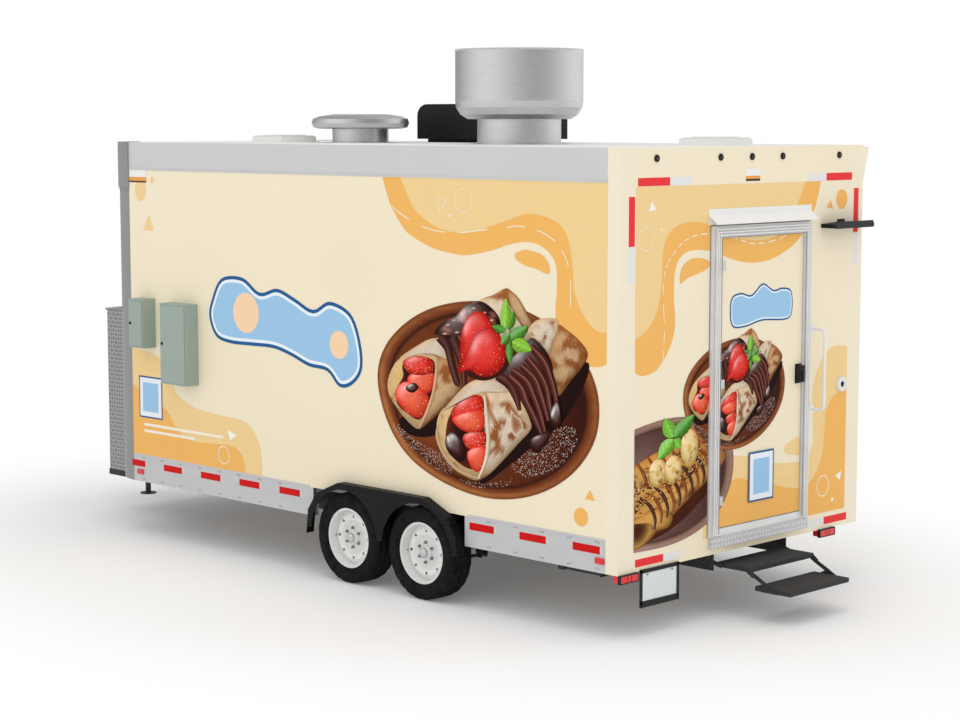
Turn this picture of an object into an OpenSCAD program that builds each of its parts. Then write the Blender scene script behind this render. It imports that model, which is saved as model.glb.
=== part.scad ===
// Food trailer on two axles, parked on its tongue jack, with the rear steps folded out.
// +X points at the coupler, +Y at the street side, +Z up. The origin is on the ground,
// under the middle of the whole trailer. Inside the modules, x counts from the rear wall.

/* [Body] */
// Width over the side walls
body_w = 2591; // [2130:1:3120]
// Length from the rear wall to the nose wall
body_len = 5486; // [4560:1:6600]
// Height of the side, from the skirt's lower edge to the roof
body_h = 2678; // [2500:1:3220]
// Height of the skirt's lower edge above the ground
ride_h = 431; // [415:1:460]
// Radius of the two upright corners at the nose
nose_r = 390; // [320:1:470]
// Thickness of each wall
wall_t = 50; // [40:1:60]
// Thickness of the roof
roof_t = 50; // [40:1:60]
// Thickness of the floor
floor_t = 40; // [30:1:50]
// Height of the aluminium skirt under the side walls
skirt_h = 207; // [200:1:250]
// Height of the grey rail along the top of each side
top_rail_h = 205; // [170:1:250]
// Width of the cream corner trim on the side
rear_trim_side = 104; // [80:1:130]
// Width of the cream corner trim on the rear
rear_trim_back = 150; // [120:1:180]

/* [Frame] */
// Width of a frame tube
rail_w = 50; // [40:1:60]
// Height of a frame tube
rail_h = 150; // [120:1:155]
// Wall of a frame tube
rail_wall = 5; // [3:1:8]
// Height of a cross member
cross_h = 80; // [60:1:100]
// Number of cross members
cross_count = 9; // [6:1:12]
// Reach of the tongue ahead of the nose wall, to the ball's centre
tongue_reach = 1150; // [1100:1:1380]
// Radius of the coupler's ball socket
socket_r = 30; // [25:0.5:32]
// Depth of the coupler's ball socket
socket_depth = 38; // [30:1:45]

/* [Running gear] */
// Diameter of a tyre
tyre_d = 652; // [600:1:700]
// Width of a tyre
tyre_w = 205; // [175:1:235]
// Diameter of the rim over its flanges
rim_d = 444; // [400:1:470]
// How far the tyre stands out past the wall
tyre_out = 40; // [20:1:60]
// Distance between the two axles
axle_gap = 749; // [710:1:900]
// Place of the middle between the axles, ahead of the rear wall
axle_mid = 2139; // [1800:1:2500]
// Diameter of an axle tube
axle_d = 76; // [60:1:90]
// Diameter of a wheel spindle
spindle_d = 60; // [45:1:66]
// How far a spring's outer eye lies inside half the axle gap
spring_inset = 45; // [30:1:60]
// Width of a leaf spring
leaf_w = 45; // [40:1:60]
// Height above the tyres that the fenders leave free
tyre_room = 62; // [50:1:80]
// How far a fender stands out from the wall
fender_out = 70; // [50:1:90]
// Sheet thickness of the fenders and wheel wells
sheet_t = 3; // [2:0.5:4]

/* [Rear door] */
// Width of the door leaf
door_w = 910; // [750:1:1100]
// Height of the door leaf
door_h = 1911; // [1700:1:2050]
// Thickness of the door leaf
door_t = 45; // [35:1:50]
// Middle of the door, to the street side of the centre line
door_mid = -132; // [-220:1:0]
// Height of the door leaf's lower edge above the skirt's lower edge
door_sill = 175; // [150:1:220]
// Width of the aluminium door frame on the outside
door_frame_w = 74; // [60:1:90]
// How far the door frame stands out from the wall
door_frame_t = 18; // [12:1:24]

// Gap between the door frame and the grab handle's middle
handle_room = 62; // [50:1:90]
// Height of the grab handle's lower end above the door's lower edge
handle_up = 690; // [600:1:800]
// Height of the grab handle
handle_h = 560; // [450:1:620]
// Distance from the grab handle to the water inlet
inlet_room = 345; // [250:1:400]
// Height of the water inlet above the door's lower edge
inlet_up = 835; // [700:1:1000]
// Middle of the licence plate, to the street side of the centre line
plate_mid = 900; // [750:1:1000]

/* [Serving side] */
// Width of the serving hatch
hatch_w = 2440; // [2000:1:2950]
// Height of the serving hatch
hatch_h = 1100; // [900:1:1130]
// Height of the hatch's lower edge above the skirt's lower edge
hatch_sill = 1095; // [1000:1:1130]
// Place of the hatch's middle ahead of the rear wall
hatch_mid = 2700; // [2300:1:2900]
// Depth of the serving shelf
shelf_d = 350; // [250:1:400]
// Thickness of the serving shelf
shelf_t = 25; // [18:1:30]
// Reach of the hood over the hatch
hood_out = 65; // [50:1:80]
// Height of the hood over the hatch
hood_h = 245; // [150:1:250]

/* [Roof] */
// Diameter of the exhaust fan's bowl
fan_d = 930; // [760:1:1120]
// Height of the exhaust fan's bowl
fan_h = 500; // [400:1:600]
// Diameter of the exhaust fan's neck
fan_neck_d = 610; // [500:1:700]
// Height of the exhaust fan's neck
fan_neck_h = 180; // [120:1:240]
// Diameter of the mushroom vent's cap
cap_d = 765; // [620:1:900]
// Height of the mushroom vent's cap
cap_h = 112; // [90:1:140]
// Diameter of the mushroom vent's neck
cap_neck_d = 440; // [350:1:500]
// Height of the mushroom vent's neck
cap_neck_h = 107; // [80:1:130]
// Place of the exhaust fan, ahead of the rear wall
fan_x = 2100; // [1700:1:2400]
// Place of the mushroom vent, ahead of the rear wall
cap_x = 3820; // [3500:1:4000]
// Thickness of the bowl's floor
fan_floor = 6; // [4:1:8]
// Diameter of the fan's motor cover
motor_d = 380; // [300:1:420]
// Height of the motor cover over the bowl's floor
motor_h = 224; // [180:1:260]
// Height of the struts that carry the motor cover
strut_h = 38; // [30:1:50]
// Length of the air conditioner
ac_len = 980; // [800:1:1050]
// Width of the air conditioner
ac_w = 700; // [580:1:740]
// Height of the air conditioner
ac_h = 300; // [240:1:360]
// Place of the air conditioner's middle: ahead of the rear wall, and to the street side
ac_mid = [3210, -850];
// Side of a roof vent
vent_side = 360; // [300:1:430]
// Height of a roof vent
vent_h = 45; // [30:1:60]

/* [Steps] */
// Width of the upper step
step_w = 700; // [580:1:840]
// Depth of a step
step_d = 285; // [240:1:300]
// Thickness of a step
step_t = 30; // [20:1:32]
// Length of the arms that swing the steps in
arm_len = 154; // [140:1:158]
// Height of the upper step's top under the skirt's lower edge
step_drop = 78; // [75:1:95]
// Drop from the upper step's top to the lower one's
step_rise = 120; // [115:1:125]

// How far out the lower step's link reaches from the upper step
link_reach = 110; // [90:1:120]

/* [Front box] */
// Width of the diamond-plate box ahead of the nose
box_w = 1600; // [1300:1:1700]
// Depth of the box
box_d = 640; // [520:1:690]
// Height of the box at the nose wall
box_h = 1465; // [1100:1:1580]
// Fall of the lid from the nose wall to the front
lid_fall = 70; // [40:1:110]
// How far the box's floor hangs under the skirt's lower edge
box_drop = 130; // [90:1:150]
// Sheet thickness of the box
box_t = 4; // [3:1:6]

/* [Electrical boxes] */
// Place of the meter box's rear edge, ahead of the rear wall
meter_x = 4782; // [4600:1:4880]
// Width of the meter box
meter_w = 185; // [150:1:210]
// Depth of the meter box
meter_d = 122; // [90:1:150]
// Place of the breaker box's rear edge, ahead of the rear wall
breaker_x = 4245; // [4000:1:4350]
// Width of the breaker box
breaker_w = 320; // [260:1:400]
// Depth of the breaker box
breaker_d = 120; // [90:1:150]

/* [Clearances] */
// Gap around a door, lid or hatch
gap = 6; // [5:0.5:8]
// Gap between two pieces that are seated but not joined
seat = 0.3; // [0.2:0.05:0.5]
// Radial clearance of a wheel on its spindle
run_fit = 0.05; // [0.02:0.01:0.1]

/* [Hidden] */
$fn = 64;
eps = 1;

half_w = body_w / 2;
inner_w = half_w - wall_t;
roof_z = ride_h + body_h;
skirt_top = ride_h + skirt_h;
wall_top = roof_z - top_rail_h;
floor_z = ride_h + rail_h;
floor_top = floor_z + floor_t;
straight_len = body_len - nose_r;
nose_half = half_w - nose_r;

// Running gear
tyre_r = tyre_d / 2;
tyre_y = half_w + tyre_out - tyre_w / 2;
tyre_inner = tyre_y - tyre_w / 2;
rail_y = tyre_inner - 50 - rail_w / 2;
rail_out = rail_y + rail_w / 2;
rail_in = rail_y - rail_w / 2;
seat_r = rim_d / 2 - 19;
rim_half = 77;
axle_xs = [axle_mid - axle_gap / 2, axle_mid + axle_gap / 2];
hub_in = 70;
drum_r = 140;
arch_z = tyre_d + tyre_room;
arch_half = axle_gap / 2 + tyre_r + 65;
fender_flat = axle_gap / 2 + 60;
fender_low = ride_h - 115;

spring_half = axle_gap / 2 - spring_inset;
spring_top = tyre_r - axle_d / 2;
eye_z = tyre_r + 4;
fender_half = arch_half + 12;

// Frame length, kept inside the rounded corner posts
corner_y = rail_out - nose_half;
rail_end = straight_len + sqrt(pow(nose_r - wall_t, 2) - pow(corner_y, 2)) - 5;
frame_len = rail_end - wall_t;
cross_pitch = (frame_len - rail_w) / (cross_count - 1);
ball_x = body_len + tongue_reach;
tongue_tip_y = 62;
tongue_outer = nose_half - 55;
tongue_w = rail_w + 8;
tongue_start = rail_end;
tongue_end = ball_x - 90;
jack_x = tongue_end - 30;
jack_room = 37;
tongue_slope = (tongue_outer - tongue_tip_y) / (tongue_end - tongue_start);
jack_y = tongue_y(jack_x) + jack_room * sqrt(1 + tongue_slope * tongue_slope);

// Total length, which puts the origin under the middle
step_x = -242;
front_reach = ball_x + socket_r + 32;
rear_reach = -step_x + step_d;
rear_x = -(front_reach - rear_reach) / 2;

// Rear door
door_z = ride_h + door_sill;
door_hinge_y = door_mid + door_w / 2;
door_free_y = door_mid - door_w / 2;
door_pin_x = -door_frame_t - 10;
door_pin_r = 8;
knuckle_h = 60;
knuckle_zs = [door_z + 180, door_z + door_h / 2, door_z + door_h - 180];
drip_half = door_w / 2 + gap + door_frame_w + 22;
drip_z = door_z + door_h + gap + door_frame_w + 12;
handle_y = door_free_y - gap - door_frame_w - handle_room;
handle_z = door_z + handle_up;
inlet_y = handle_y - inlet_room;
inlet_z = door_z + inlet_up;
flood_y = handle_y - 305;
flood_z = door_z + door_h + 22;

// Serving hatch
hatch_z = ride_h + hatch_sill;
hatch_pin_y = -half_w - 20;
hatch_pin_z = hatch_z + hatch_h + gap + 12;
hatch_proud = 12;
hinge_r = 7;
hinge_end = 45;
shelf_pin = [-half_w - 22, hatch_z - 30];
window_rail = 40;
window_depth = 40;

// Steps: the arm and the link each swing from a rest angle through straight down to the mirrored angle
arm_tilt = 13.1;
arm_x = 160;
step_top = ride_h - step_drop;
arm_end_z = step_top - step_t / 2;
arm_z = arm_end_z + arm_len * sin(arm_tilt);
arm_end_x = arm_x - arm_len * cos(arm_tilt);
upper_front = -220;
plate_y = step_w / 2 + 47;
step_ear = 6;
link_x = upper_front - 25;
link_z = step_top - 50;
link_pin_r = 6;
link_y = step_w / 2 - 14;
lower_ear_y = step_w / 2 - 22;
lower_top = step_top - step_rise;
link_end_x = link_x - link_reach;
link_end_z = lower_top + 14;

// Stabilisers
leg_y = inner_w - 62;
leg_pin = [560, ride_h - 32];
leg_pin_r = 8;
leg_len = 360;
leg_ear = 21;
ear_t = 6;

// Front box
box_x = body_len + 4;
box_z = ride_h - box_drop;
box_front_h = box_h - lid_fall;
lid_t = 20;
lid_pin = [box_x + 12, box_z + box_h + 12];
lid_pin_r = 5;
lid_hinge_w = 240;

module from_rear() translate([rear_x, 0, 0]) children();
module both_sides() { children(); mirror([0, 1, 0]) children(); }
module block(lo, hi) translate(lo) cube(hi - lo);
// A cylinder from a point, along X or Y
module rod_x(p, r, h) translate(p) rotate([0, 90, 0]) cylinder(r = r, h = h);
module rod_y(p, r, h) translate(p) rotate([-90, 0, 0]) cylinder(r = r, h = h);
module tube(lo, hi, wall, open_axis) {
    shift = [for (i = [0:2]) i == open_axis ? -eps : wall];
    difference() {
        block(lo, hi);
        block(lo + shift, hi - shift);
    }
}
// Outline of the body from above, drawn in by an inset
module body_plan(inset) {
    translate([inset, -half_w + inset]) square([straight_len - inset, body_w - 2 * inset]);
    translate([inset, -nose_half]) square([body_len - 2 * inset, 2 * nose_half]);
    for (side = [-1, 1]) translate([straight_len, side * nose_half]) circle(r = nose_r - inset);
}
// A side-view outline, drawn in X and Z, between two Y values
module slab_xz(y0, y1) translate([0, y1, 0]) rotate([90, 0, 0]) linear_extrude(y1 - y0) children();
// An outline drawn in Y and Z, between two X values
module slab_yz(x0, x1) translate([x0, 0, 0]) rotate([90, 0, 90]) linear_extrude(x1 - x0) children();
// Rounded rectangle from corner to corner
module rounded(lo, hi, r) {
    translate([lo[0] + r, lo[1]]) square([hi[0] - lo[0] - 2 * r, hi[1] - lo[1]]);
    translate([lo[0], lo[1] + r]) square([hi[0] - lo[0], hi[1] - lo[1] - 2 * r]);
    for (x = [lo[0] + r, hi[0] - r], y = [lo[1] + r, hi[1] - r]) translate([x, y]) circle(r = r);
}

// Chassis
module frame_rails() color("#26282a") from_rear() both_sides() {
    tube([wall_t, rail_in, ride_h], [rail_end, rail_out, floor_z], rail_wall, 0);
    block([leg_pin[0] - 26, rail_out - eps, ride_h], [leg_pin[0] + 26, leg_y + leg_ear + ear_t, ride_h + 8]);
    for (y = [leg_y - leg_ear - ear_t, leg_y + leg_ear]) difference() {
        block([leg_pin[0] - 26, y, leg_pin[1] - 20], [leg_pin[0] + 26, y + ear_t, ride_h + eps]);
        rod_y([leg_pin[0], y - eps, leg_pin[1]], leg_pin_r + run_fit, ear_t + 2 * eps);
    }
}

module cross_members() color("#2c2e30") from_rear() {
    for (i = [0:cross_count - 1]) {
        x = wall_t + i * cross_pitch;
        tube([x, -rail_in, floor_z - cross_h], [x + rail_w, rail_in, floor_z], rail_wall, 1);
        clear = x > axle_mid + arch_half + 10 || x + rail_w < axle_mid - arch_half - 10;
        if (clear && x + rail_w < straight_len)
            both_sides() tube([x, rail_out, floor_z - cross_h], [x + rail_w, inner_w, floor_z], rail_wall, 1);
    }
}

// Outer edge of the tongue at a place along it
function tongue_y(x) = tongue_outer + (tongue_tip_y - tongue_outer) * (x - tongue_start) / (tongue_end - tongue_start);
module tongue_rails() color("#202224") from_rear() both_sides()
    translate([0, 0, ride_h]) linear_extrude(rail_h) polygon([
        for (x = [tongue_start, tongue_end]) [x, tongue_y(x)],
        for (x = [tongue_end, tongue_start]) [x, tongue_y(x) - tongue_w]]);

module coupler() color("#3a3d40") from_rear() difference() {
    union() {
        block([tongue_end - 60, -tongue_tip_y - 20, floor_z], [ball_x, tongue_tip_y + 20, floor_z + 10]);
        block([tongue_end + seat, -tongue_tip_y, ride_h + 20], [ball_x, tongue_tip_y, floor_z + 1]);
        translate([ball_x, 0, ride_h + 20]) cylinder(r = socket_r + 32, h = rail_h - 10);
        translate([ball_x - 70, 0, floor_z + 9]) cylinder(r = 12, h = 40);
    }
    translate([ball_x, 0, ride_h + 20 - eps]) cylinder(r = socket_r, h = socket_depth + eps);
}

module tongue_jack() color("#55585b") from_rear() {
    translate([jack_x, jack_y, 0]) {
        cylinder(r = 70, h = 8);
        translate([0, 0, 7]) cylinder(r = 24, h = ride_h);
        translate([0, 0, 180]) cylinder(r = 30, h = floor_z + 210);
        translate([0, 0, floor_z + 380]) cylinder(r = 38, h = 40);
        translate([0, 0, floor_z + 400]) rotate([90, 0, 0]) cylinder(r = 8, h = 110);
        translate([0, -104, floor_z + 330]) cylinder(r = 8, h = 78);
    }
    block([jack_x - 45, tongue_tip_y - 20, floor_z + 10 + seat], [jack_x + 45, jack_y - 20, floor_z + 22]);
}

// Running gear
module spindle(x) {
    rod_y([x, 0, tyre_r], spindle_d / 2, tyre_y + 5);
    rod_y([x, 0, tyre_r], axle_d / 2, tyre_y - hub_in - seat);
    rod_y([x, tyre_y - hub_in - seat - 6, tyre_r], drum_r, 6);
}
module axles() color("#242628") from_rear() both_sides() for (x = axle_xs) spindle(x);

function leaf_z(t, low) = low + (eye_z - spring_top + 6) * t * t;
module leaf(x, depth, reach) {
    upper = [for (i = [-8:8]) [x + i / 8 * reach, leaf_z(i / 8 * reach / spring_half, spring_top)]];
    lower = [for (i = [8:-1:-8]) [x + i / 8 * reach, leaf_z(i / 8 * reach / spring_half, spring_top) - depth]];
    slab_xz(rail_y - leaf_w / 2, rail_y + leaf_w / 2) polygon(concat(upper, lower));
}
module leaf_springs() color("#2a2c2e") from_rear() both_sides() {
    for (x = axle_xs) {
        leaf(x, 10, spring_half);
        leaf(x, 20, spring_half * 0.78);
        leaf(x, 30, spring_half * 0.5);
        block([x - 55, rail_y - 40, spring_top - 42], [x + 55, rail_y + 40, spring_top - 30]);
        for (dx = [-48, 48], dy = [-32, 32])
            translate([x + dx, rail_y + dy, spring_top - 48]) cylinder(r = 6, h = axle_d + 60);
        block([x - 55, rail_y - 40, tyre_r + axle_d / 2], [x + 55, rail_y + 40, tyre_r + axle_d / 2 + 8]);
        for (side = [-1, 1]) rod_y([x + side * spring_half, rail_y - leaf_w / 2 - 6, eye_z], 16, leaf_w + 12);
    }
    for (x = [axle_xs[0] - spring_half, axle_mid, axle_xs[1] + spring_half])
        for (side = [-1, 1])
            slab_xz(rail_y + side * (leaf_w / 2 + 3) - 3, rail_y + side * (leaf_w / 2 + 3) + 3)
                polygon([[x - 50, ride_h], [x + 50, ride_h], [x + 22, eye_z - 20], [x - 22, eye_z - 20]]);
    slab_xz(rail_y - leaf_w / 2, rail_y + leaf_w / 2)
        polygon([[axle_mid - 60, eye_z - 14], [axle_mid + 60, eye_z - 14], [axle_mid, eye_z + 42]]);
}

module tyre(x, side) color("#1b1b1c") from_rear() translate([x, side * tyre_y, tyre_r])
    rotate([-90, 0, 0]) rotate_extrude($fn = 96) polygon([
        [seat_r, -rim_half], [rim_d / 2 + 2, -rim_half], [rim_d / 2 + 14, -tyre_w / 2 + 12],
        [rim_d / 2 + 45, -tyre_w / 2], [tyre_r - 36, -tyre_w / 2 + 3], [tyre_r - 12, -tyre_w / 2 + 16],
        [tyre_r, -tyre_w / 2 + 34], [tyre_r, tyre_w / 2 - 34], [tyre_r - 12, tyre_w / 2 - 16],
        [tyre_r - 36, tyre_w / 2 - 3], [rim_d / 2 + 45, tyre_w / 2], [rim_d / 2 + 14, tyre_w / 2 - 12],
        [rim_d / 2 + 2, rim_half], [seat_r, rim_half]
    ]);

module wheel(x, side) color("#e6e7e8") from_rear() translate([x, side * tyre_y, tyre_r])
    rotate([-90 * side, 0, 0]) difference() {
        rotate_extrude($fn = 96) polygon([
            [spindle_d / 2 + run_fit, -hub_in], [drum_r, -hub_in], [drum_r, -20], [78, -20], [78, 2],
            [104, 4], [128, 24], [160, 30], [seat_r - 5, 8], [seat_r - 5, -rim_half - 5],
            [rim_d / 2, -rim_half - 5], [rim_d / 2, -rim_half], [seat_r, -rim_half], [seat_r, rim_half],
            [rim_d / 2, rim_half], [rim_d / 2, rim_half + 5], [seat_r - 3, rim_half + 5],
            [seat_r - 5, 14], [160, 38], [124, 32], [100, 12], [70, 10], [50, 14], [46, 40], [34, 58],
            [0, 62], [0, 8], [spindle_d / 2 + run_fit, 8]
        ]);
        for (a = [0:45:315]) rotate(a) translate([148, 0, 20]) cylinder(r = 11, h = 30);
    }

// Wheel wells and fenders
module wheel_wells() color("#2b2d30") from_rear() both_sides() {
    lo = axle_mid - arch_half - 30;
    hi = axle_mid + arch_half + 30;
    inner = rail_out + 8;
    block([lo, inner, arch_z], [hi, inner_w, arch_z + sheet_t]);
    block([lo, inner, floor_z], [hi, inner + sheet_t, arch_z + sheet_t]);
    for (x = [lo, hi - sheet_t]) block([x, inner, floor_z], [x + sheet_t, inner_w, arch_z + sheet_t]);
}

module fender_outline(inset) {
    polygon([
        [axle_mid - fender_half + inset, fender_low], [axle_mid - fender_half + inset + 20, ride_h + 60],
        [axle_mid - fender_half + inset + 110, ride_h + 190], [axle_mid - fender_flat, arch_z + 8 - inset],
        [axle_mid + fender_flat, arch_z + 8 - inset], [axle_mid + fender_half - inset - 110, ride_h + 190],
        [axle_mid + fender_half - inset - 20, ride_h + 60], [axle_mid + fender_half - inset, fender_low]
    ]);
}
module fenders() color("#1c1d1f") from_rear() both_sides() {
    slab_xz(half_w, half_w + fender_out) difference() {
        fender_outline(0);
        fender_outline(sheet_t);
    }
    slab_xz(half_w + fender_out - sheet_t, half_w + fender_out) difference() {
        fender_outline(0);
        for (x = axle_xs) translate([x, tyre_r]) circle(r = tyre_r + 25);
        translate([axle_mid - fender_half - eps, fender_low - eps])
            square([2 * fender_half + 2 * eps, tyre_r - fender_low + 40]);
    }
}

// Body panels
module skirt_piece(x0, x1) tube([x0, inner_w, ride_h], [x1, half_w, skirt_top], sheet_t, 0);
module side_skirts() color("#c9cacc") from_rear() both_sides() {
    skirt_piece(rear_trim_side, axle_mid - fender_half);
    skirt_piece(axle_mid + fender_half, straight_len);
}

module side_panel() {
    slab_xz(inner_w, half_w) difference() {
        translate([rear_trim_side, skirt_top]) square([straight_len - rear_trim_side, wall_top - skirt_top]);
        fender_outline(0);
    }
}
module street_wall() color("#f2e6cb") from_rear() side_panel();

// The wall's halves of a hinge along X, one past each end of the moving half
module hinge_ends(pin_y, z) for (side = [-1, 1]) {
    x = hatch_mid + side * (hatch_w / 2 + seat + hinge_end / 2) - hinge_end / 2;
    rod_x([x, pin_y, z], hinge_r, hinge_end);
    block([x, pin_y, z - 4], [x + hinge_end, -half_w + eps, z + 4]);
}
module curb_wall() color("#f2e6cb") from_rear() {
    difference() {
        mirror([0, 1, 0]) side_panel();
        block([hatch_mid - hatch_w / 2 - gap, -half_w - eps, hatch_z - gap],
            [hatch_mid + hatch_w / 2 + gap, -inner_w + eps, hatch_z + hatch_h + gap]);
    }
    hinge_ends(hatch_pin_y, hatch_pin_z);
    hinge_ends(shelf_pin[0], shelf_pin[1]);
}

module nose_wall() color("#d9d9da") from_rear()
    block([body_len - wall_t, -nose_half, floor_z], [body_len, nose_half, roof_z]);

module front_corner_posts() color("#bfc0c2") from_rear() both_sides()
    translate([straight_len, nose_half, ride_h]) intersection() {
        difference() {
            cylinder(r = nose_r, h = body_h, $fn = 128);
            translate([0, 0, -eps]) cylinder(r = nose_r - wall_t, h = body_h + 2 * eps, $fn = 128);
        }
        cube([nose_r, nose_r, body_h]);
    }

module rear_corner_posts() color("#f5e9ce") from_rear() both_sides() {
    block([0, inner_w, ride_h], [rear_trim_side, half_w, roof_z]);
    block([0, half_w - rear_trim_back, ride_h], [wall_t, inner_w + eps, roof_z]);
}

module rear_wall() color("#f5e9ce") from_rear() difference() {
    block([0, -half_w + rear_trim_back, ride_h], [wall_t, half_w - rear_trim_back, roof_z]);
    block([-eps, door_free_y - gap, door_z - gap], [wall_t + eps, door_hinge_y + gap, door_z + door_h + gap]);
}

module roof() color("#e8e8e8") from_rear() translate([0, 0, roof_z - roof_t]) difference() {
    linear_extrude(roof_t) body_plan(wall_t);
    for (p = [[fan_x, fan_neck_d], [cap_x, cap_neck_d]])
        translate([p[0], 0, -eps]) cylinder(r = p[1] / 2 - 20, h = roof_t + 2 * eps);
}

module top_rails() color("#c8c8c8") from_rear() both_sides()
    block([rear_trim_side, inner_w, wall_top], [straight_len, half_w, roof_z]);

module floor() color("#8a7f70") from_rear() difference() {
    translate([0, 0, floor_z]) linear_extrude(floor_t) body_plan(wall_t);
    both_sides() block([axle_mid - arch_half - 30, rail_out + 8, floor_z - eps],
        [axle_mid + arch_half + 30, half_w, floor_top + eps]);
}

// Rear wall fittings
module door_frame() color("#c3c5c7") from_rear() {
    difference() {
        block([-door_frame_t, door_free_y - gap - door_frame_w, door_z - gap - 50],
            [0, door_hinge_y + gap + door_frame_w, door_z + door_h + gap + door_frame_w]);
        block([-door_frame_t - eps, door_free_y - gap, door_z - gap],
            [eps, door_hinge_y + gap, door_z + door_h + gap]);
    }
    for (z = knuckle_zs, part = [-1, 1]) {
        low = part < 0 ? z - knuckle_h : z + knuckle_h / 2 + seat;
        translate([door_pin_x, door_hinge_y, low]) cylinder(r = door_pin_r, h = knuckle_h / 2 - seat);
        block([door_pin_x, door_hinge_y + gap + 4, low],
            [-door_frame_t, door_hinge_y + gap + 34, low + knuckle_h / 2 - seat]);
        block([door_pin_x - 3, door_hinge_y, low], [door_pin_x + 3, door_hinge_y + gap + 34, low + knuckle_h / 2 - seat]);
    }
}

module entry_door() color("#f5e9ce") from_rear() {
    block([-door_frame_t + 6, door_free_y, door_z], [-door_frame_t + 6 + door_t, door_hinge_y, door_z + door_h]);
    for (z = knuckle_zs) {
        translate([door_pin_x, door_hinge_y, z - knuckle_h / 2]) cylinder(r = door_pin_r, h = knuckle_h);
        block([door_pin_x - 3, door_hinge_y - 44, z - knuckle_h / 2], [door_pin_x + 3, door_hinge_y, z + knuckle_h / 2]);
        block([door_pin_x, door_hinge_y - 44, z - knuckle_h / 2],
            [-door_frame_t + 6, door_hinge_y - 12, z + knuckle_h / 2]);
    }
    block([-door_frame_t - 34, door_free_y + 12, door_z + 900],
        [-door_frame_t + 6, door_free_y + 62, door_z + 1010]);
}

module door_drip_cap() color("#e4e5e6") from_rear() {
    block([-4, door_mid - drip_half, drip_z], [0, door_mid + drip_half, drip_z + 100]);
    slab_xz(door_mid - drip_half, door_mid + drip_half)
        polygon([[0, drip_z + 62], [0, drip_z + 56], [-62, drip_z + 8], [-62, drip_z], [-66, drip_z], [-66, drip_z + 11]]);
}

module threshold_plate() color("#b9bbbd") from_rear()
    block([-38, door_free_y - gap - door_frame_w + 10, door_z - gap - 50 - 72],
        [0, door_hinge_y + gap + door_frame_w - 10, door_z - gap - 50 - seat]);

module grab_handle() color("#eeeeee") from_rear() {
    for (z = [handle_z, handle_z + handle_h]) {
        rod_x([-5, handle_y, z], 30, 5);
        rod_x([-70, handle_y, z], 11, 66);
    }
    for (side = [-1, 1]) {
        z = side < 0 ? handle_z + 34 : handle_z + handle_h - 34;
        translate([-70, handle_y, z]) rotate([90, 0, 0]) rotate([0, 0, side < 0 ? 180 : 90])
            rotate_extrude(angle = 90) translate([34, 0]) circle(r = 11);
    }
    translate([-104, handle_y, handle_z + 34]) cylinder(r = 11, h = handle_h - 68);
}

module water_inlet() color("#f4f4f2") from_rear() difference() {
    rod_x([-14, inlet_y, inlet_z], 54, 14);
    rod_x([-20, inlet_y, inlet_z], 19.05, 26);
}

module rear_floodlight() color("#18191a") from_rear() {
    block([-8, flood_y - 40, flood_z - 8], [0, flood_y + 40, flood_z + 60]);
    slab_yz(-120, -8) polygon([[flood_y - 235, flood_z + 6], [flood_y - 235, flood_z + 34],
        [flood_y, flood_z + 46], [flood_y + 235, flood_z + 34], [flood_y + 235, flood_z + 6]]);
}

module lamp(y) {
    slab_yz(-22, 40) rounded([y - 87, ride_h - 50], [y + 87, ride_h], 14);
}
module tail_lights() color("#b3261e") from_rear() for (y = [half_w - 90, -920]) lamp(y);

module licence_plate() color("#f2f2f0") from_rear() {
    block([-12, plate_mid - 182, ride_h - 206], [-6, plate_mid + 182, ride_h - 16]);
    block([-6, plate_mid - 60, ride_h - 150], [24, plate_mid + 60, ride_h - seat]);
}

module electrical_boxes() color("#9aaba0") from_rear() {
    block([meter_x, half_w, ride_h + 1086], [meter_x + meter_w, half_w + meter_d, ride_h + 1468]);
    block([breaker_x, half_w, ride_h + 835], [breaker_x + breaker_w, half_w + breaker_d, ride_h + 1456]);
}

// Folding steps
module step_bracket() color("#1d1e1f") from_rear() translate([0, door_mid, 0]) {
    both_sides() difference() {
        union() {
            slab_xz(plate_y, plate_y + 6) polygon([[50, ride_h], [50, arm_z - 70], [400, arm_z - 70],
                [400, ride_h]]);
            rod_y([arm_x, plate_y - 16, arm_z], 12, 22);
        }
        rod_y([arm_x, plate_y - 30, arm_z], 8 + run_fit, 50);
    }
    block([352, -plate_y, ride_h - 6], [400, plate_y, ride_h]);
}

module step_arms() color("#242526") from_rear() translate([0, door_mid, 0]) both_sides() {
    rod_y([arm_x, plate_y - 27, arm_z], 8, 33);
    rod_y([arm_end_x, step_w / 2 - 24, arm_end_z], 8, plate_y - 24 - step_w / 2 + 24);
    slab_xz(plate_y - 27, plate_y - 21) {
        for (p = [[arm_x, arm_z], [arm_end_x, arm_end_z]]) translate(p) circle(r = 14);
        polygon([[arm_x + 2, arm_z - 14], [arm_x - 4, arm_z + 14], [arm_end_x - 4, arm_end_z + 14],
            [arm_end_x + 2, arm_end_z - 14]]);
    }
}

module step_upper() color("#1a1b1c") from_rear() translate([0, door_mid, 0]) difference() {
    union() {
        block([upper_front, -step_w / 2, step_top - step_t], [upper_front + step_d, step_w / 2, step_top]);
        both_sides() slab_xz(step_w / 2 - step_ear, step_w / 2) polygon([
            [upper_front + 40, step_top - 4], [upper_front - 2, step_top - 12], [link_x - 14, link_z + 10],
            [link_x - 14, link_z - 12], [link_x + 14, link_z - 14], [upper_front + 40, step_top - step_t]]);
    }
    both_sides() {
        rod_y([arm_end_x, step_w / 2 - 25, arm_end_z], 8 + run_fit, 40);
        rod_y([link_x, step_w / 2 - 20, link_z], link_pin_r + run_fit, 40);
    }
}

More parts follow.
